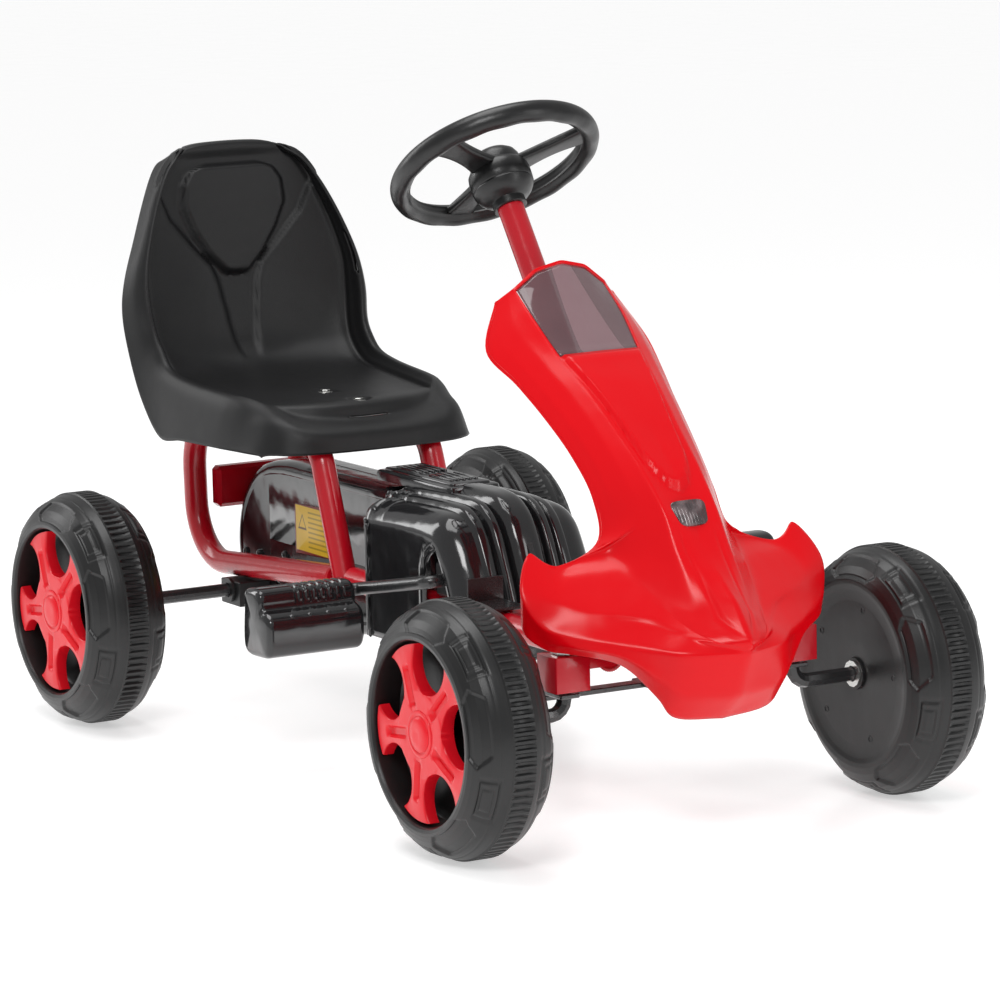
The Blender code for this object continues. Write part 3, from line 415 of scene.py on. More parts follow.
# centre, middle, crease of the dish, crest of the rolled rim, its shoulder and its outer edge
SEAT_ROWS = [
    [(-.18, 0, .287), (-.181, .05, .287), (-.186, .082, .287), (-.196, .103, .287), (-.209, .115, .287),
     (-.222, .123, .286)],
    [(-.188, 0, .306), (-.189, .05, .307), (-.195, .08, .31), (-.208, .1, .315), (-.224, .114, .312),
     (-.236, .127, .286)],
    [(-.211, 0, .315), (-.217, .05, .317), (-.229, .078, .321), (-.24, .102, .329), (-.25, .119, .32),
     (-.258, .131, .286)],
    [(-.223, 0, .3312), (-.23, .05, .3312), (-.25, .09, .3312), (-.268, .11, .338), (-.275, .125, .327),
     (-.285, .135, .286)],
    [(-.27, 0, .3312), (-.275, .05, .3312), (-.285, .098, .3312), (-.296, .117, .341), (-.302, .129, .329),
     (-.308, .137, .286)],
    [(-.38, 0, .333), (-.38, .05, .333), (-.38, .105, .336), (-.375, .122, .346), (-.374, .133, .334),
     (-.37, .14, .285)],
    [(-.43, 0, .336), (-.43, .05, .3365), (-.428, .107, .341), (-.418, .122, .354), (-.42, .134, .342),
     (-.414, .141, .283)],
    [(-.464, 0, .347), (-.462, .05, .348), (-.454, .107, .357), (-.437, .121, .37), (-.443, .133, .362),
     (-.452, .142, .318)],
    [(-.481, 0, .368), (-.48, .055, .369), (-.469, .109, .377), (-.448, .123, .386), (-.458, .134, .383),
     (-.476, .143, .362)],
    [(-.492, 0, .405), (-.49, .055, .406), (-.478, .112, .41), (-.456, .126, .417), (-.466, .137, .415),
     (-.488, .144, .405)],
    [(-.5, 0, .443), (-.498, .055, .444), (-.483, .112, .448), (-.464, .123, .453), (-.473, .132, .451),
     (-.493, .138, .44)],
    [(-.504, 0, .485), (-.503, .052, .486), (-.491, .103, .488), (-.474, .111, .493), (-.482, .118, .491),
     (-.502, .121, .482)],
    [(-.506, 0, .52), (-.505, .048, .521), (-.497, .09, .523), (-.484, .096, .527), (-.491, .103, .525),
     (-.511, .106, .516)],
    [(-.508, 0, .548), (-.507, .042, .549), (-.502, .076, .549), (-.492, .082, .551), (-.498, .088, .549),
     (-.52, .092, .542)],
    [(-.509, 0, .566), (-.508, .036, .565), (-.506, .062, .563), (-.499, .07, .563), (-.505, .076, .562),
     (-.528, .08, .556)],
    [(-.512, 0, .578), (-.512, .033, .577), (-.512, .052, .574), (-.512, .06, .571), (-.516, .066, .568),
     (-.531, .07, .561)],
    [(-.533, 0, .577), (-.533, .03, .576), (-.533, .046, .573), (-.533, .053, .57), (-.534, .058, .567),
     (-.535, .062, .562)]]


def seat_surface():
    """The station table smoothed both ways, then relief along the normal: the head pad stands 9 mm
    proud inside its outline, the channel sinks 6 mm within a half width that grows with height,
    and a narrow groove runs just inside the rim."""
    whole = mirrored(SEAT_ROWS)
    grid = through(whole, 12)
    grid = softened(softened(through(grid.swapaxes(0, 1), 16), 3).swapaxes(0, 1), 4)
    across = np.linspace(-5, 5, grid.shape[1])[None, :]
    y, z = np.abs(grid[..., 1]), grid[..., 2]
    back = ease(z, .345, .375) * (np.abs(across) < 2.4)
    pad_half = np.interp(z, [.434, .44, .46, .485, .511, .535, .548, .556],
                         [0.0, .016, .036, .052, .063, .061, .052, .03])
    pad = ease(pad_half - y, 0.0, .006) * ease(z, .436, .442) * (1 - ease(z, .55, .556))
    valley_half = np.interp(z, [.33, .345, .36, .4, .43, .447, .468, .5, .53],
                            [0.0, .008, .0125, .018, .023, .029, .049, .077, .09])
    valley = 1 - ease(y - valley_half, -.003, .003)
    valley = valley * ease(z, .34, .352) * (1 - ease(z, .56, .572))
    groove = np.exp(-((np.abs(across) - 2.12) / .1) ** 2) * ease(np.arange(grid.shape[0])[:, None], 30, 50)
    height = back * (.0088 * pad - .0056 * valley) - .003 * groove
    for x, _ in SEAT_BOLTS:
        reach = np.hypot(grid[..., 0] - x, grid[..., 1])
        height -= .0034 * (1 - ease(reach, .0092, .0122)) * (z < .345)
    probe = lifted(grid, height * 0)[1]
    sign = 1.0 if probe[60, probe.shape[1] // 2, 2] > 0 else -1.0
    return lifted(grid, height * sign)[0]


def seat_slots(grid):
    """The quads that three slots leave out: one along each side of the back, between the crease
    and the crest of the rim, and one across the front of the pan."""
    corner = grid[:-1, :-1]
    across = np.abs(np.linspace(-5, 5, grid.shape[1])[None, :-1] + 5 / (grid.shape[1] - 1))
    side = (across > 2.68) & (across < 3.00) & (corner[..., 2] > .431) & (corner[..., 2] < .473)
    row = np.arange(grid.shape[0] - 1)[:, None]
    return side | ((row == 25) & (np.abs(corner[..., 1] - .001) < .0235))


SEAT_PLASTIC = surface("seat_plastic", (.007, .007, .0075), .42, (1300.0, .00018), (30.0, .0006), .16,
                       Specular_IOR_Level=.32)
shape = seat_surface()
bucket = piece("seat_bucket", [(shape, "", seat_slots(shape))], SEAT_PLASTIC, "frame",
               sharp=60, wall=.004, facing=(.7, 0, 1))
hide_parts("seat_shell")


def seat_fasteners():
    """Round-headed bolts: a flat washer turned on a bevelled profile, and a hexagon head on it."""
    rims = []
    for x, z in SEAT_BOLTS:
        for radius, low, high, sides in ((.0078, 0.0, .001, 40), (.0052, .0009, .0036, 6)):
            turn = around(sides)
            rows = [np.stack([x + r * np.cos(turn), r * np.sin(turn), z + h + 0 * turn], -1)
                    for r, h in ((0, low), (radius, low), (radius, high - .0003), (radius - .0004, high),
                                 (0, high))]
            rims.append((np.stack(rows), "j"))
    return rims


ZINC = surface("zinc_steel", (.62, .62, .6), .26, (1600.0, .00004), spread=.12, Metallic=1.0)
bolts = piece("seat_bolt_heads", seat_fasteners(), ZINC, "frame", sharp=30)
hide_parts("seat_bolt_front", "seat_bolt_rear")


# -------- wheels
# Each tyre is one hollow blow moulding in satin black with its tread ribs, shoulder panels and
# dished discs moulded in; a red star cap snaps into the outward recess.
AXLE_Z = .12
TYRE_PLASTIC = surface("tyre_plastic", (.004, .004, .0043), .37, (900.0, .00008), (50.0, .0003), .16)
HUB_RED = surface("hub_red", (.74, .006, .016), .3, (900.0, .00003), (90.0, .0003), .07,
                  Specular_IOR_Level=.35)
BUSH_BLACK = surface("bush_black", (.008, .008, .0085), .42, (1100.0, .0001), spread=.15)


def tyre_surface(outward, x, y):
    """A profile turned round the axle, the outward side at +t. The profile is a smoothed table of
    (t, radius); onto it come 96 ribs across the tread, five sunk hexagon panels by the rim and
    five double-outline panels by the tread, all as a change of depth along the profile's normal."""
    table = np.array([
        (-.012, .0117), (-.0385, .0117), (-.0396, .03), (-.0402, .07), (-.0412, .0805), (-.0425, .086),
        (-.0428, .0905), (-.0412, .0965), (-.0375, .104), (-.031, .1103), (-.022, .1152), (-.015, .1176),
        (-.012, .1184), (-.011, .12), (.011, .12), (.012, .1184), (.015, .1178), (.022, .116),
        (.031, .1118), (.038, .1055), (.0425, .0985), (.0446, .0935), (.045, .09), (.0444, .0868),
        (.0425, .0856), (.038, .085), (.025, .0838), (.0165, .0822), (.0148, .08), (.0142, .076),
        (.0138, .05), (.0132, .0117), (-.012, .0117)])
    length = np.concatenate([[0], np.cumsum(np.hypot(*np.diff(table, axis=0).T))])
    at = np.unique(np.concatenate([length, np.linspace(0, length[-1], 30),
                                   np.linspace(length[14], length[23], 72),
                                   np.linspace(length[4], length[11], 30)]))
    t, r = np.interp(at, length, table[:, 0]), np.interp(at, length, table[:, 1])
    turn = around(576)[None, :]
    t, r = t[:, None] + 0 * turn, r[:, None] + 0 * turn
    fifth = math.tau / 5
    tread = (np.abs(t) < .0112) & (r > .119)
    rib = .5 + .5 * np.clip(2.2 * np.cos(96 * turn), -1, 1)
    depth = np.where(tread, -.0024 * (1 - rib) * ease(.0112 - np.abs(t), .0008, .0016), 0)
    for shoulder, phase in ((t > .012, math.radians(84)), (t < -.012, math.radians(20))):
        a = (turn - phase + fifth / 2) % fifth - fifth / 2
        edge = np.abs(a) + 11.0 * np.abs(r - .102)
        panel = ease(.37 - edge, 0.0, .035) * ease(.113 - r, 0.0, .0018) * ease(r - .0925, 0.0, .0018)
        b = (turn - phase + math.radians(36) + fifth / 2) % fifth - fifth / 2
        reach = np.maximum(np.abs(b) / .185, np.abs(r - .1105) / .0052)
        line = np.exp(-((reach - 1.0) / .11) ** 2) + .8 * np.exp(-((reach - .62) / .1) ** 2)
        seam = np.exp(-((r - .1155) / .0006) ** 2)
        depth = depth + np.where(shoulder, -.0024 * panel - .0013 * line * (r > .1) - .0005 * seam, 0)
    slope = np.gradient(np.stack([t, r], -1), axis=0)
    normal = unit(np.stack([-slope[..., 1], slope[..., 0]], -1))
    normal = np.where((normal[..., 1:] < 0) & (r[..., None] > .1), -normal, normal)
    t, r = t + normal[..., 0] * depth, r + normal[..., 1] * depth
    return np.stack([x + r * np.cos(turn), y + outward * t, AXLE_Z + r * np.sin(turn)], -1), "ij"


def closed_ends(loop):
    """Rows of closed loops with the first and the last drawn in to their own middles."""
    ends = [np.broadcast_to(loop[k].mean(0), loop[k].shape)[None] for k in (0, -1)]
    return np.concatenate([ends[0], loop, ends[1]])


def cap_spoke(angle, x, y, outward):
    """One fifth of the star as a loop in (angle, out) carried along the radius. Its half angle is
    a tenth of a turn near the hub, and further out what a round window of radius 29 mm centred at
    68 mm between two spokes leaves; edges are bevelled and a groove is sunk along the middle."""
    r = np.concatenate([[.012, .02, .026, .029, .032, .0355], np.linspace(.0388, .0445, 14),
                        np.linspace(.046, .0822, 26)])[:, None]
    reach = np.clip((r ** 2 + .068 ** 2 - .029 ** 2) / (2 * r * .068), -1, 1)
    half = math.radians(36) - np.where(r > .039, np.arccos(reach), 0)
    free = ease(r, .0388, .042)
    across = np.array([-1, -1, -1, -.985, -.94, -.86, -.5, -.3, -.22, -.15,
                       0, .15, .22, .3, .5, .86, .94, .985, 1, 1, 1])
    low = np.array([0, 0, .84, .95, 1, 1, 1, 1, 1, 1, 1, 1, 1, 1, 1, 1, 1, .95, .84, 0, 0])[None, :]
    low = np.where(low > 0, 1 - (1 - low) * free, 0)
    width = r * half
    narrow = np.clip(.0042 / width, 0, 1)
    across = np.where(np.abs(across) < .4, across * narrow / .22, across)
    dip = np.array([0, 0, 0, 0, 0, 0, 0, 0, .45, 1, 1, 1, .45, 0, 0, 0, 0, 0, 0, 0, 0])[None, :]
    sunk = .0046 * ease(r, .0265, .03) * (1 - ease(r, .061, .0665)) * dip
    face = .0412 - .0014 * ease(r, .03, .08) - .0012 * free * np.abs(across) ** 3
    out = .0275 + (face - .0275) * low - sunk
    turn = angle + across * half
    radius = r + 0 * turn
    loop = np.stack([x + radius * np.cos(turn), y + outward * out, AXLE_Z + radius * np.sin(turn)], -1)
    return closed_ends(loop), "j"


def turned(profile, x, y, z, outward, sides=64):
    """A profile of (out, radius) turned round a line along y."""
    profile = np.asarray(profile, float)
    turn = around(sides)[None, :]
    t, r = profile[:, :1], profile[:, 1:]
    return np.stack([x + r * np.cos(turn), y + outward * t + 0 * turn, z + r * np.sin(turn)], -1), "j"


SIDES = (("right", -1), ("left", 1))
BOSS = [
    (.027, 0), (.027, .0224), (.0408, .0224), (.042, .0218), (.0424, .0205), (.0424, .0186), (.0418, .0176),
    (.0418, .0168), (.0432, .016), (.0442, .0138), (.0447, .0095), (.0447, .0048), (.0444, 0)]
for end in ("front", "rear"):
    for side, outward in SIDES:
        name = f"{end}_{side}"
        low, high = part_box(f"wheel_bush_{name}")
        x = (low.x + high.x) / 2 - MIDDLE
        y = outward * (.236 if end == "front" else .246)
        body = {"front_right": "wheel_front_right", "front_left": "wheel_front_left",
                "rear_right": "wheel_rear_right", "rear_left": "rear_drive"}[name]
        holes = [turned([(-.04, 0), (-.04, .0022), (-.0407, .0024), (-.0407, .003), (-.0398, .0036)],
                        x + .0645 * math.cos(a), y, AXLE_Z + .0645 * math.sin(a), outward, 20)
                 for a in np.radians(5 + 72 * np.arange(5))]
        tyre = piece(f"tyre_moulding_{name}", [tyre_surface(outward, x, y)], TYRE_PLASTIC,
                     body, sharp=32)
        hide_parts(f"tyre_{name}")
        dimples = piece(f"disc_dimples_{name}", holes, BUSH_BLACK, body)
        star = [cap_spoke(math.radians(43 + 72 * k), x, y, outward) for k in range(5)]
        cap = piece(f"hub_star_{name}", star + [turned(BOSS, x, y, AXLE_Z, outward)], HUB_RED,
                    body, sharp=42)
        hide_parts(f"hub_cap_{name}")
        coat(BUSH_BLACK, f"wheel_bush_{name}")
coat(ZINC, "wheel_washer_left", "wheel_washer_right", "kingpin_nut_left", "kingpin_nut_right")


# -------- axles, knuckles and drive
# Bright bar and plate, blackened or painted black: the rear axle, the knuckles, the tie rod, the
# bent crank, and the chain and sprockets inside their case. Bearings are moulded blocks.
BLACK_STEEL = surface("black_steel", (.016, .016, .017), .28, (1200.0, .00005), (120.0, .0002), .2,
                      Coat_Weight=.3)
coat(BLACK_STEEL, "rear_axle", "rear_sprocket", "crank_sprocket", "chain", "knuckle_left", "knuckle_right",
     "tie_rod", "cover_bracket")
coat(BUSH_BLACK, "axle_bearing_block_left", "axle_bearing_block_right", "axle_bush_left", "axle_bush_right",
     "crank_bearing_left", "crank_bearing_right", "column_bush")
CRANK_X, CRANK_Z = .068, .194
THROW, SLOPE = .118, math.radians(10.6)
DX, DZ = THROW * math.cos(SLOPE), THROW * math.sin(SLOPE)


def crank_path():
    """A pin, an arm, the middle run, the other arm and the other pin, with bent corners."""
    return bent([(CRANK_X + reach * DX, y, CRANK_Z + reach * DZ) for reach, y in
                 ((-1, -.2225), (-1, -.106), (0, -.0925), (0, .0925), (1, .106), (1, .2225))], .01)


crank = piece("crank_bar", [tube(crank_path(), .0065, unit(np.array((-DZ, 0, DX))), 28)], BLACK_STEEL,
              "crank")
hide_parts("crankshaft")


# -------- chain case
# Two glossy black mouldings that meet on the middle plane, each a rounded tray with a sunk face,
# held by small screws. The near face carries a yellow sticker with plain bars.
GLOSS = surface("gloss_black_plastic", (.01, .01, .011), .13, (700.0, .00002), (35.0, .001), .15,
                Coat_Weight=.3, Coat_Roughness=.05)
CASE_OUTLINE = [
    (-.118, .104), (-.18, .095), (-.25, .086), (-.32, .079), (-.38, .076), (-.42, .086), (-.448, .112),
    (-.462, .15), (-.456, .19), (-.436, .222), (-.404, .245), (-.36, .254), (-.3, .2555), (-.21, .2558),
    (-.118, .256)]


def case_half(outward):
    """The outline, smoothed, in rows that go out from the middle plane, round the rim and in over
    the face; each row's inset follows the outline's normal. The last row closes on a spine."""
    line = through(np.array(CASE_OUTLINE), 10)
    slope = unit(np.gradient(line, axis=0))
    inward = np.stack([slope[:, 1], -slope[:, 0]], -1)
    inward *= np.sign(np.sum(inward * (np.array((-.28, .168)) - line), -1, keepdims=True))
    inward[:, 0] *= ease(-line[:, 0], .118, .135)
    inward = unit(inward)
    rows = []
    for out, inset in ((.0004, 0), (.0018, 0), (.0018, .001), (.0026, .001), (.0026, 0), (.018, 0),
                       (.0245, .0012), (.029, .0045), (.0308, .0085), (.031, .012), (.03, .0135),
                       (.0296, .015)):
        p = line + inward * inset
        rows.append(np.stack([p[:, 0], np.full(len(p), outward * out), p[:, 1]], -1))
    spine = np.stack([np.clip(line[:, 0], -.385, -.118), np.full(len(line), outward * .0296),
                      np.full(len(line), .168)], -1)
    return np.stack(rows + [spine])


for side, outward in SIDES:
    half = piece(f"case_{side}", [case_half(outward)], GLOSS, "frame", sharp=40,
                 wall=.0025, facing=(0, outward, 0))
    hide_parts(f"chain_case_{side}")
SCREW = [(.029, 0), (.029, .0042), (.0318, .0042), (.0328, .0034), (.0331, .002), (.0322, .0016), (.0322, 0)]
screws = [turned(SCREW, x, 0, z, -1, 24)
          for x, z in ((-.439, .1475), (-.408, .1496), (-.35, .156), (-.15, .15))]
piece("case_screws", screws, BLACK_STEEL, "frame")

STICKER = Finish("sticker", Roughness=.32)


def print_sticker():
    """Yellow paper with a dark red border, an empty triangle and plain grey bars for lines."""
    x, z = STICKER.axis(0) - (MIDDLE - .2855), STICKER.axis(2) - .1895
    border = 1 - STICKER.step(abs(x), .0385, .039)
    border = border * (1 - STICKER.step(abs(z), .0235, .024))
    rows = abs(z.maths("FRACT", z / .0052 + 100.0) - .5)
    bars = (1 - STICKER.step(rows, .16, .2)) * STICKER.step(x, -.012, -.0115)
    bars = bars * (1 - STICKER.step(x, .033, .0335)) * (1 - STICKER.step(abs(z), .019, .0195))
    tri = z.maths("MAXIMUM", abs(x + .0245) * 1.75 + z - .015, -1.0 * z - .001)
    mark = (1 - STICKER.step(tri, 0.0, .0004)) * STICKER.step(tri, -.0022, -.0018)
    ink = STICKER.mix(bars * .55, (.86, .56, .03, 1), (.2, .11, .01, 1))
    ink = STICKER.mix(mark * .9, ink, (.1, .03, .01, 1))
    STICKER.feed("Base Color", STICKER.mix(border, (.22, .01, .01, 1), ink))
    STICKER.bumps(STICKER.noise(500.0), .00005)


print_sticker()
paper = lozenge((-.2855, -.029, .1895), (1, 0, .045), (0, 0, 1), (.082, .052, .001), .002, .0002)
piece("case_sticker", [paper], STICKER, "frame")


# -------- engine cover
# A glossy black moulding styled as an engine, open below and arched over the crank: lobes run
# over its top and down its front with fins behind, and a flat air intake sits on the back of it.
def engine_surface():
    """A side profile carried across the kart: across the flat of the top each point is the
    profile's, round the shoulder it sinks along the profile's normal on a quarter circle, and the
    side wall is ruled from there down to the arch line. A middle hump and two bands on each side,
    with quartic crowns, and the fins at the back are added along the normal."""
    profile = np.array([
        (-.1, .12), (-.1, .17), (-.0998, .215), (-.0975, .238), (-.09, .248), (-.078, .252), (-.05, .2545),
        (-.02, .256), (.01, .257), (.04, .257), (.058, .255), (.07, .25), (.082, .24), (.094, .222),
        (.106, .198), (.117, .17), (.1245, .14), (.1255, .12)])
    line = through(profile, 8)
    slope = unit(np.gradient(line, axis=0))
    normal = np.stack([-slope[:, 1], slope[:, 0]], -1)
    x = line[:, 0]
    crown = .0035 * ease(line[:, 1], .2, .25)
    stand = ease(line[:, 1], .128, .15)
    fins = .0024 * (.5 + .5 * np.cos((x + .098) / .0075 * math.tau)) * ease(x, -.1, -.096)
    fins = fins * (1 - ease(x, -.056, -.05)) * ease(line[:, 1], .235, .246)
    angle = np.linspace(0, math.pi / 2, 14)
    middle = np.linspace(0, .054, 42)[:-1]
    half_y = np.concatenate([middle, .054 + .026 * np.sin(angle)])
    sink = np.concatenate([0 * middle, .026 * (1 - np.cos(angle))])
    share = np.concatenate([1 + 0 * middle, 1 - ease(angle, .75, 1.45)])
    fin_share = ease(half_y, .03, .036) * share
    lobes = sum(rise * np.clip(1 - ((half_y - at) / wide) ** 4, 0, 1)
                for at, wide, rise in ((0, .02, .0135), (.0275, .0066, .0085), (.0425, .0074, .005)))
    lift = stand[:, None] * lobes[None, :] + fins[:, None] * fin_share[None, :]
    lift = lift + crown[:, None] * np.cos(np.minimum(half_y / .054, 1) * math.pi / 2)[None, :]
    out = line[:, None, :] + normal[:, None, :] * (lift - sink[None, :])[..., None]
    top = np.stack([out[..., 0], np.broadcast_to(half_y, out.shape[:2]), out[..., 1]], -1)
    edge = top[:, -1]
    floor_z = np.full(len(edge), .1185)
    inside = np.clip(1 - ((edge[:, 0] - .068) / .029) ** 2, 0, 1)
    arch = np.where(np.abs(edge[:, 0] - .068) < .029, .194 + .029 * np.sqrt(inside), floor_z)
    foot = edge.copy()
    foot[:, 2] = np.minimum(np.maximum(arch, floor_z), edge[:, 2])
    down = np.linspace(0, 1, 16)[1:, None, None]
    wall = np.moveaxis(edge[None] + (foot - edge)[None] * down, 0, 1)
    near = np.hypot(wall[..., 0] - .068, np.maximum(wall[..., 2] - .194, 0))
    wall[..., 1] += .0018 * (1 - ease(np.abs(near - .034), .002, .0035))
    half = np.concatenate([top, wall], axis=1)
    return np.concatenate([half[:, :0:-1], half * (1, -1, 1)], axis=1)


cover = piece("engine_moulding", [engine_surface()], GLOSS, "frame", sharp=50,
              wall=.0025, facing=(0, 0, 1))
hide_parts("engine_cover")


def intake():
    """A flat box: a rounded outline in rows that rise, step in over the top edge and close, with
    two sunk windows and a raised bar laid on as bevelled slabs."""
    box = [lozenge((-.073, 0, .2625), (1, 0, 0), (0, 1, 0), (.154, .06, .0095), .007, .003)]
    box.append(lozenge((-.073, 0, .2715), (1, 0, 0), (0, 1, 0), (.14, .046, .003), .005, .0015))
    for x, size in ((-.105, .05), (-.04, .046)):
        box += [lozenge((x, y, .2742), (1, 0, 0), (0, 1, 0), (size, .004, .0022), .0016, .0008)
                for y in (-.014, -.007, 0, .007, .014)]
    return box


cap = piece("intake_box", intake(), GLOSS, "frame")
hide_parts("intake_cap")


# -------- pedals
# Each pedal is a hollow black moulding that turns on the crank's end: a ribbed grip round the pin,
# a tread plate with slanted bars, and a smooth skirt that hangs below and ahead.
def pedal_surface(x, z, outward):
    """A closed side section, smoothed, carried across the pedal's width; near both ends it shrinks
    towards its middle on a quarter circle. Ribs ride on the upper part as a square wave in y."""
    section = np.array([
        (-.0185, .004), (-.015, .0105), (-.006, .0125), (.006, .0125), (.0135, .0095), (.0165, .003),
        (.018, -.006), (.028, -.0105), (.0345, -.017), (.036, -.03), (.034, -.044), (.026, -.053),
        (.006, -.0548), (-.01, -.0545), (-.019, -.05), (-.0218, -.04), (-.0218, -.024), (-.02, -.01)])
    closed = np.concatenate([section[-2:], section, section[:3]])
    line = through(closed, 6)[12:-18]
    middle = np.array((.006, -.022))
    t = np.concatenate([[0], np.sin(np.linspace(0, math.pi / 2, 7)) * .0065,
                        np.linspace(.0065, .1015, 150)[1:-1],
                        .108 - np.sin(np.linspace(math.pi / 2, 0, 7)) * .0065, [.108]])
    ends = np.minimum(t, .108 - t)
    shrink = .0065 - np.sqrt(np.maximum(.0065 ** 2 - (.0065 - np.minimum(ends, .0065)) ** 2, 0))
    away = unit(line - middle)
    rib = np.clip(2.5 * np.sin(t[:, None] / .0085 * math.tau), -1, 1) * .5 + .5
    along = ease(t, .01, .013) * (1 - ease(t, .068, .071))
    grip = ease(line[None, :, 1], -.004, .003) * along[:, None]
    reach = line - away * shrink[:, None, None] - away * (.0016 * (1 - rib) * grip)[..., None]
    pinch = np.ones(len(t))
    pinch[[0, -1]] = 0
    reach = middle + (reach - middle) * pinch[:, None, None]
    y = outward * (.118 + t)[:, None] + 0 * reach[..., 0]
    return np.stack([x + reach[..., 0], y, z + reach[..., 1]], -1), "j"


for side, outward in SIDES:
    x, z = CRANK_X + outward * DX, CRANK_Z + outward * DZ
    bars = [lozenge((x + .027, outward * (.135 + .02 * k), z - .0118), (.75, -.6, -.42), (.5, .8, -.3),
                    (.014, .0045, .0016), .002, .0006) for k in range(4)]
    pedal = piece(f"pedal_moulding_{side}", [pedal_surface(x, z, outward)] + bars, GLOSS,
                  f"pedal_{side}_body", sharp=40)
    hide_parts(f"pedal_{side}")


# -------- bonnet
# One bright red injection moulding bolted over the column and the front beam: a narrow neck, two
# upturned wings and a blunt nose, with a smoked window and a clear lamp lens clipped in.
BONNET_RED = surface("bonnet_red", (.68, .0006, .005), .22, (700.0, .00002), (28.0, .001), .05,
                     Specular_IOR_Level=.22)
# centre (x, z), then crease, ridge foot, valley, lip and foot as (x, y, z); where no foot is given, it is
# 6 mm inside the lip
BONNET_STATIONS = [
    ((.1785, .5122), (.1745, .0505, .4885), (.1709, .0555, .4838), (.1673, .0605, .4793),
     (.1632, .0658, .4742)),
    ((.1797, .5105), (.1757, .05, .4868), (.172, .056, .4822), (.1684, .061, .4777), (.1645, .0665, .473)),
    ((.215, .468), (.21, .049, .462), (.2016, .064, .453), (.193, .078, .4425), (.185, .089, .432)),
    ((.25, .431), (.248, .044, .43), (.242, .059, .425), (.235, .072, .415), (.228, .081, .404)),
    ((.293, .399), (.291, .038, .4), (.284, .052, .395), (.2765, .0645, .3855), (.268, .073, .374)),
    ((.334, .364), (.331, .033, .368), (.324, .047, .363), (.3155, .059, .354), (.306, .068, .343)),
    ((.382, .32), (.37, .03, .336), (.36, .044, .329), (.349, .0565, .319), (.338, .066, .308)),
    ((.408, .289), (.404, .028, .301), (.386, .043, .293), (.37, .06, .28), (.356, .074, .27)),
    ((.43, .264), (.422, .029, .272), (.368, .067, .266), (.3625, .1, .257), (.3595, .127, .253),
     (.3595, .127, .237)),
    ((.45, .248), (.437, .029, .25), (.393, .064, .249), (.372, .127, .245), (.3535, .145, .2705),
     (.354, .1495, .222)),
    ((.466, .236), (.448, .03, .232), (.411, .06, .236), (.387, .134, .23), (.3715, .165, .239),
     (.372, .163, .2)),
    ((.478, .227), (.456, .032, .218), (.427, .0555, .225), (.399, .1255, .2225), (.39, .156, .208),
     (.389, .149, .184)),
    ((.488, .216), (.464, .035, .208), (.441, .05, .2155), (.413, .108, .217), (.407, .139, .2),
     (.403, .131, .18)),
    ((.496, .206), (.472, .035, .201), (.456, .044, .2065), (.432, .078, .2095), (.433, .107, .193),
     (.43, .094, .17)),
    ((.502, .198), (.482, .031, .1955), (.47, .0385, .1995), (.454, .056, .201), (.455, .079, .187),
     (.449, .068, .14)),
    ((.5045, .194), (.494, .019, .1905), (.487, .029, .1925), (.479, .038, .1915), (.48, .051, .182),
     (.4515, .05, .119)),
    ((.505, .19), (.504, 0, .187), (.503, 0, .185), (.502, 0, .183), (.501, 0, .18), (.453, 0, .113))]
LONG, WIDE = 8, 10  # samples between stations and between columns


def bonnet_grid():
    """Half rows from the centre line over the crease, the ridge and the valley to the lip and the
    foot, mirrored. The first interval is straight and a cubic runs on from it; across, panels are straight
    and each crease is rounded by averaging neighbours."""
    rows = []
    for k, ((cx, cz), crease, ridge, valley, lip, *foot) in enumerate(BONNET_STATIONS):
        crease, lip = np.array(crease), np.array(lip)
        foot = np.array(foot[0]) if foot else lip - (0, .006, 0)
        arch = .0055 if k < 2 else 0
        mid = np.array(((cx + crease[0]) / 2, crease[1] * .55, (cz + crease[2]) / 2 + arch))
        knee = lip + (foot - lip) * .6 + np.array((.01 if lip[0] > .4 else 0, 0, 0))
        rows.append([np.array((cx, 0, cz)), mid, crease, np.array(ridge), np.array(valley), lip, knee, foot])
    lines = through(mirrored(rows), LONG)
    lines[:LONG] = lines[0] + (lines[LONG] - lines[0]) * (np.arange(LONG) / LONG)[:, None, None]
    whole = lines.swapaxes(0, 1)
    share = (np.arange(WIDE) / WIDE)[None, :, None, None]
    fine = (whole[:-1, None] * (1 - share) + whole[1:, None] * share).reshape(-1, *whole.shape[1:])
    fine = softened(np.concatenate([fine, whole[-1:]]), 2)
    return softened(fine.swapaxes(0, 1), 1)


def bonnet_relief(grid):
    """The centre panel stands 5 mm proud between the creases from the window to a rounded tip
    over the lamp; two soft grooves, 1 mm deep, run from the lamp and meet at the nose."""
    u = np.arange(grid.shape[0])[:, None] / LONG
    v = np.abs(np.arange(grid.shape[1])[None, :] / WIDE - 7)
    tip = np.interp(u, [3.0, 4.0, 5.0, 5.6, 5.85, 6.0, 6.1], [1.95, 1.8, 1.6, 1.45, 1.2, .85, 0.0])
    panel = ease(tip - v, 0, .16) * ease(u, 2.9, 3.1) * (1 - ease(u, 6.03, 6.14))
    line = np.interp(u, [7.4, 9, 12, 15], [1.25, 1.1, .9, 0.0])
    groove = np.exp(-((v - line) / .14) ** 2) * ease(u, 7.2, 8.0) * (1 - ease(u, 12.0, 14.5))
    return .0052 * panel - .001 * groove


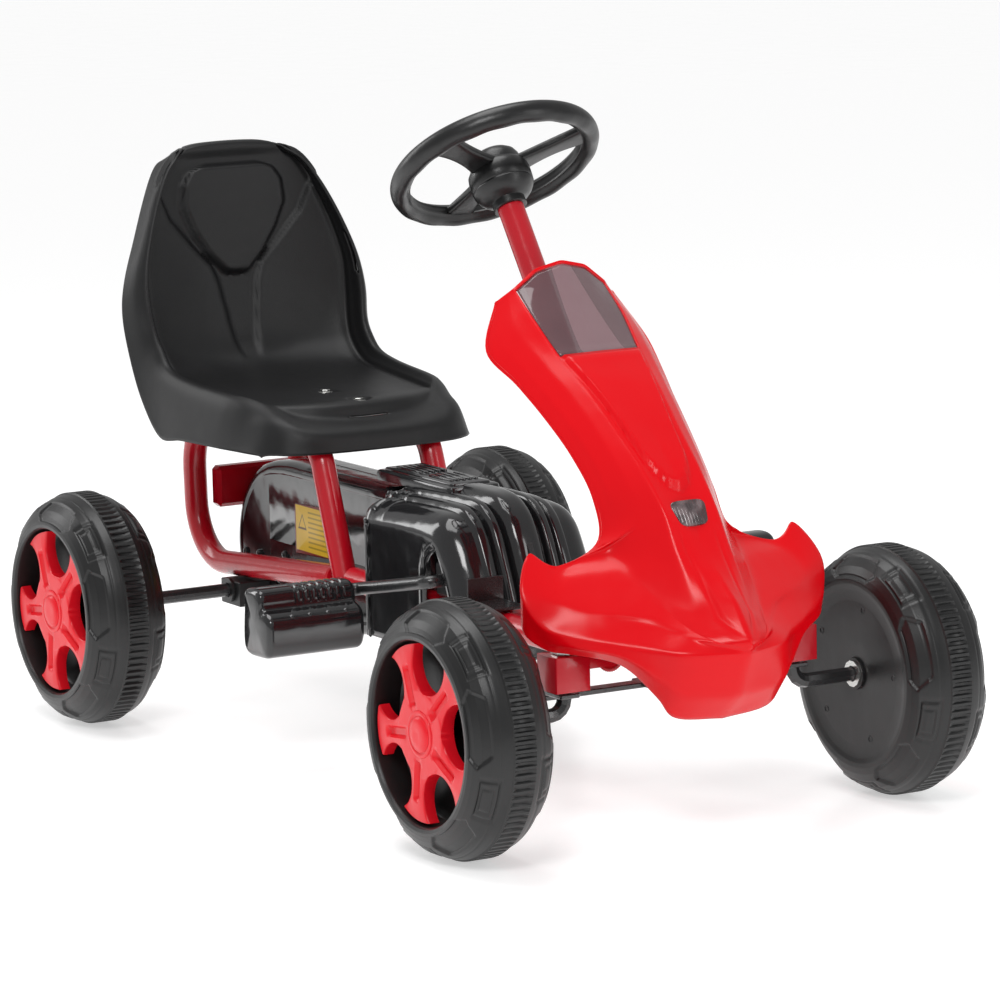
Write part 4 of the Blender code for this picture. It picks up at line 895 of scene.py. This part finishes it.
whole = bonnet_grid()
normal_check = lifted(whole, np.zeros(whole.shape[:2]))[1][5 * LONG, 7 * WIDE]
outward_sign = 1.0 if normal_check[2] > 0 else -1.0
whole = lifted(whole, bonnet_relief(whole) * outward_sign)[0]
top, bottom, near, far = LONG, 3 * LONG, 5 * WIDE, 9 * WIDE  # rows and columns of the glazed opening
patches = [whole[:top + 1], whole[bottom:], whole[top:bottom + 1, :near + 1], whole[top:bottom + 1, far:]]
hood = piece("bonnet_moulding", patches, BONNET_RED, "frame", sharp=60, wall=.003,
             facing=(.5, 0, 1))
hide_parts("bonnet")

WINDOW = Finish("smoked_window", Roughness=.08, Alpha=.8, Coat_Weight=.4, Coat_Roughness=.03)


def tint_window():
    """Smoky tint that varies in a cloud, with two slanted paler streaks painted into the colour as a painted
    reflection of the lights on the pane.
    """
    y, z = WINDOW.axis(1), WINDOW.axis(2)
    slant, other = y - (z - .505) * .1, y + (z - .505) * .24
    # painted reflection: two slanted paler bands, the lights' glare on the pane, painted into its colour
    painted_reflection = WINDOW.step(slant, -.012, -.0115) * (1 - WINDOW.step(other, .0095, .01))
    base = WINDOW.mix(WINDOW.noise(30.0), (.105, .052, .06, 1), (.15, .08, .09, 1))
    # the paler colour mixed in here is the painted reflection, not a print
    WINDOW.feed("Base Color", WINDOW.mix(painted_reflection * .42, base, (.36, .2, .225, 1)))
    WINDOW.bumps(WINDOW.noise(40.0), .0004)


tint_window()
pane_grid = whole[top:bottom + 1, near:far + 1]
middle = pane_grid[pane_grid.shape[0] // 2, pane_grid.shape[1] // 2]
sunk = np.full(pane_grid.shape[:2], -.0008 * outward_sign)
pane = piece("window_pane", [lifted(middle + (pane_grid - middle) * .985, sunk)[0]], WINDOW,
             "frame", wall=.0012, facing=(.5, 0, 1))
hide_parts("windshield")

LENS = Finish("lens", Roughness=.12, Coat_Weight=.6, Coat_Roughness=.03)


def mould_lens():
    """Clear plastic over a dark bowl: fine upright flutes and a mottled dark depth."""
    flutes = LENS.node("ShaderNodeTexWave", {"bands_direction": "Y"}, {"Vector": LENS.place, "Scale": 95.0})
    depth = LENS.noise(90.0, 2.0)
    LENS.feed("Base Color", LENS.mix(LENS.step(depth, .38, .72), (.045, .028, .03, 1), (.17, .125, .13, 1)))
    LENS.bumps(flutes, .0006)


mould_lens()


def squarer(value, power):
    """A cosine or sine raised to a power below 1, its sign kept, which squares up an oval."""
    return np.sign(value) * np.abs(value) ** power


def lamp_surface():
    """A trapezoid dome: a superellipse outline, narrower at the foot, in rings that rise over a rim
    and close on the middle, laid on the slope under the panel's tip."""
    centre, down = np.array((.4025, 0, .2972)), unit(np.array((.62, 0, -.8)))
    across = np.array((0, 1, 0))
    out = np.cross(across, down)
    out = out if out[2] > 0 else -out
    turn = around(64)
    a, b = np.cos(turn), np.sin(turn)
    power = .45
    a, b = squarer(a, power), squarer(b, power)
    rows = []
    for keep, rise in ((0, -.004), (1, -.004), (1, .0016), (.97, .0022), (.9, .0024), (.6, .0031),
                       (.3, .0035), (0, .0036)):
        width = (.0172 - .0024 * b) * a * keep
        rows.append(centre + width[:, None] * across + (b * .0135 * keep)[:, None] * down + rise * out)
    return np.stack(rows), "j"


lamp = piece("lamp_lens", [lamp_surface()], LENS, "frame", sharp=40)
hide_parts("headlight_lens")


# -------- steering
# A satin black moulded wheel with a thick round rim and three ribbed spokes, pressed on a red
# steel column that steps down to a rod whose bent end works the tie rod.
TILT = math.radians(35.5)
UP = np.array((-math.sin(TILT), 0, math.cos(TILT)))
AWAY = np.array((math.cos(TILT), 0, math.sin(TILT)))
SIDEWAYS = np.array((0, 1, 0))
RIM = np.array((.0566, 0, .5949))
WHEEL_BLACK = surface("steering_black", (.004, .004, .0043), .32, (1000.0, .0001), (80.0, .0004), .15)


def about_column(out, turn, rise):
    """Points out from the column's line at an angle round it, and along it."""
    return (RIM + (out * np.cos(turn))[..., None] * AWAY + (out * np.sin(turn))[..., None] * SIDEWAYS
            + rise[..., None] * UP)


def rim_surface():
    """A circle carried round the column's line; its section is an oval whose back has finger
    grips as a shallow wave and whose inner side has two fine grooves."""
    turn = around(160)[:, None]
    girth = around(60)[None, :]
    size = .009 + .0003 * np.cos(18 * turn) * np.clip(-np.sin(girth), 0, 1)
    lip = .0014 * np.exp(-((girth - 2.75) / .1) ** 2) + .0014 * np.exp(-((girth - 3.55) / .1) ** 2)
    out = .097 + size * np.cos(girth) - lip
    rise = size * 1.22 * np.sin(girth)
    return about_column(out, turn, rise), "ij"


def spoke_surface(angle):
    """A spoke from the hub to the rim: a flat oval section whose width narrows and flares again
    and whose height sags towards the hub, with a sunk panel along its top."""
    s = np.linspace(0, 1, 40)[:, None]
    girth = around(40)[None, :]
    direction = math.cos(angle) * AWAY + math.sin(angle) * SIDEWAYS
    side = np.cross(UP, direction)
    reach = .012 + .082 * s
    half = .0115 + .006 * (2 * s - 1) ** 2
    d = np.sin(girth)
    a = squarer(np.cos(girth), .55) * half
    b = squarer(d, .55) * .005
    panel = (1 - ease(np.abs(a) / half, .45, .62)) * ease(s, .22, .3) * (1 - ease(s, .78, .86))
    sunk = .0022 * (d > 0) * panel
    rise = b - sunk - .01 * (1 - s) ** 2
    loop = RIM + reach[..., None] * direction + a[..., None] * side + rise[..., None] * UP
    return closed_ends(loop), "j"


def turned_up(profile, sides=72):
    """A profile of (height along the column, radius) turned round the column's line."""
    profile = np.asarray(profile, float)
    turn = around(sides)[None, :]
    rise, r = profile[:, :1], profile[:, 1:]
    return about_column(r, turn, rise + 0 * turn), "j"


hub = turned_up([
    (-.05, 0), (-.05, .0158), (-.0493, .0166), (-.0425, .0166), (-.042, .0172), (-.0405, .0215),
    (-.036, .0262), (-.031, .0295), (-.028, .0305), (-.0272, .03), (-.0262, .03), (-.0254, .0307),
    (-.015, .031), (-.009, .03), (-.005, .0272), (-.004, .0258), (.002, .025), (.007, .0225), (.0105, .018),
    (.0125, .011), (.013, 0)])
spokes = [spoke_surface(math.pi + k * math.tau / 3) for k in range(3)]
grip = piece("steering_moulding", [rim_surface(), hub] + spokes, WHEEL_BLACK,
             "steering", sharp=40)
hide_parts("steering_wheel")


def column_paths():
    """The rod's path: down the column's line, out along the lever and down its pin."""
    pin_top = np.array((.3796 - .044, 0, .1283)) + UP * .03
    along = (pin_top - RIM) @ UP
    return bent([RIM - UP * .36, RIM + UP * along, pin_top, pin_top - UP * .041], .009)


shaft = turned_up([(-.0475, 0), (-.0475, .012), (-.0485, .013), (-.374, .013), (-.375, .012), (-.375, 0)], 48)
column = piece("steering_tube", [shaft, tube(column_paths(), .006, (0, 1, 0), 24)], RED_PAINT,
               "steering")
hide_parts("steering_column")
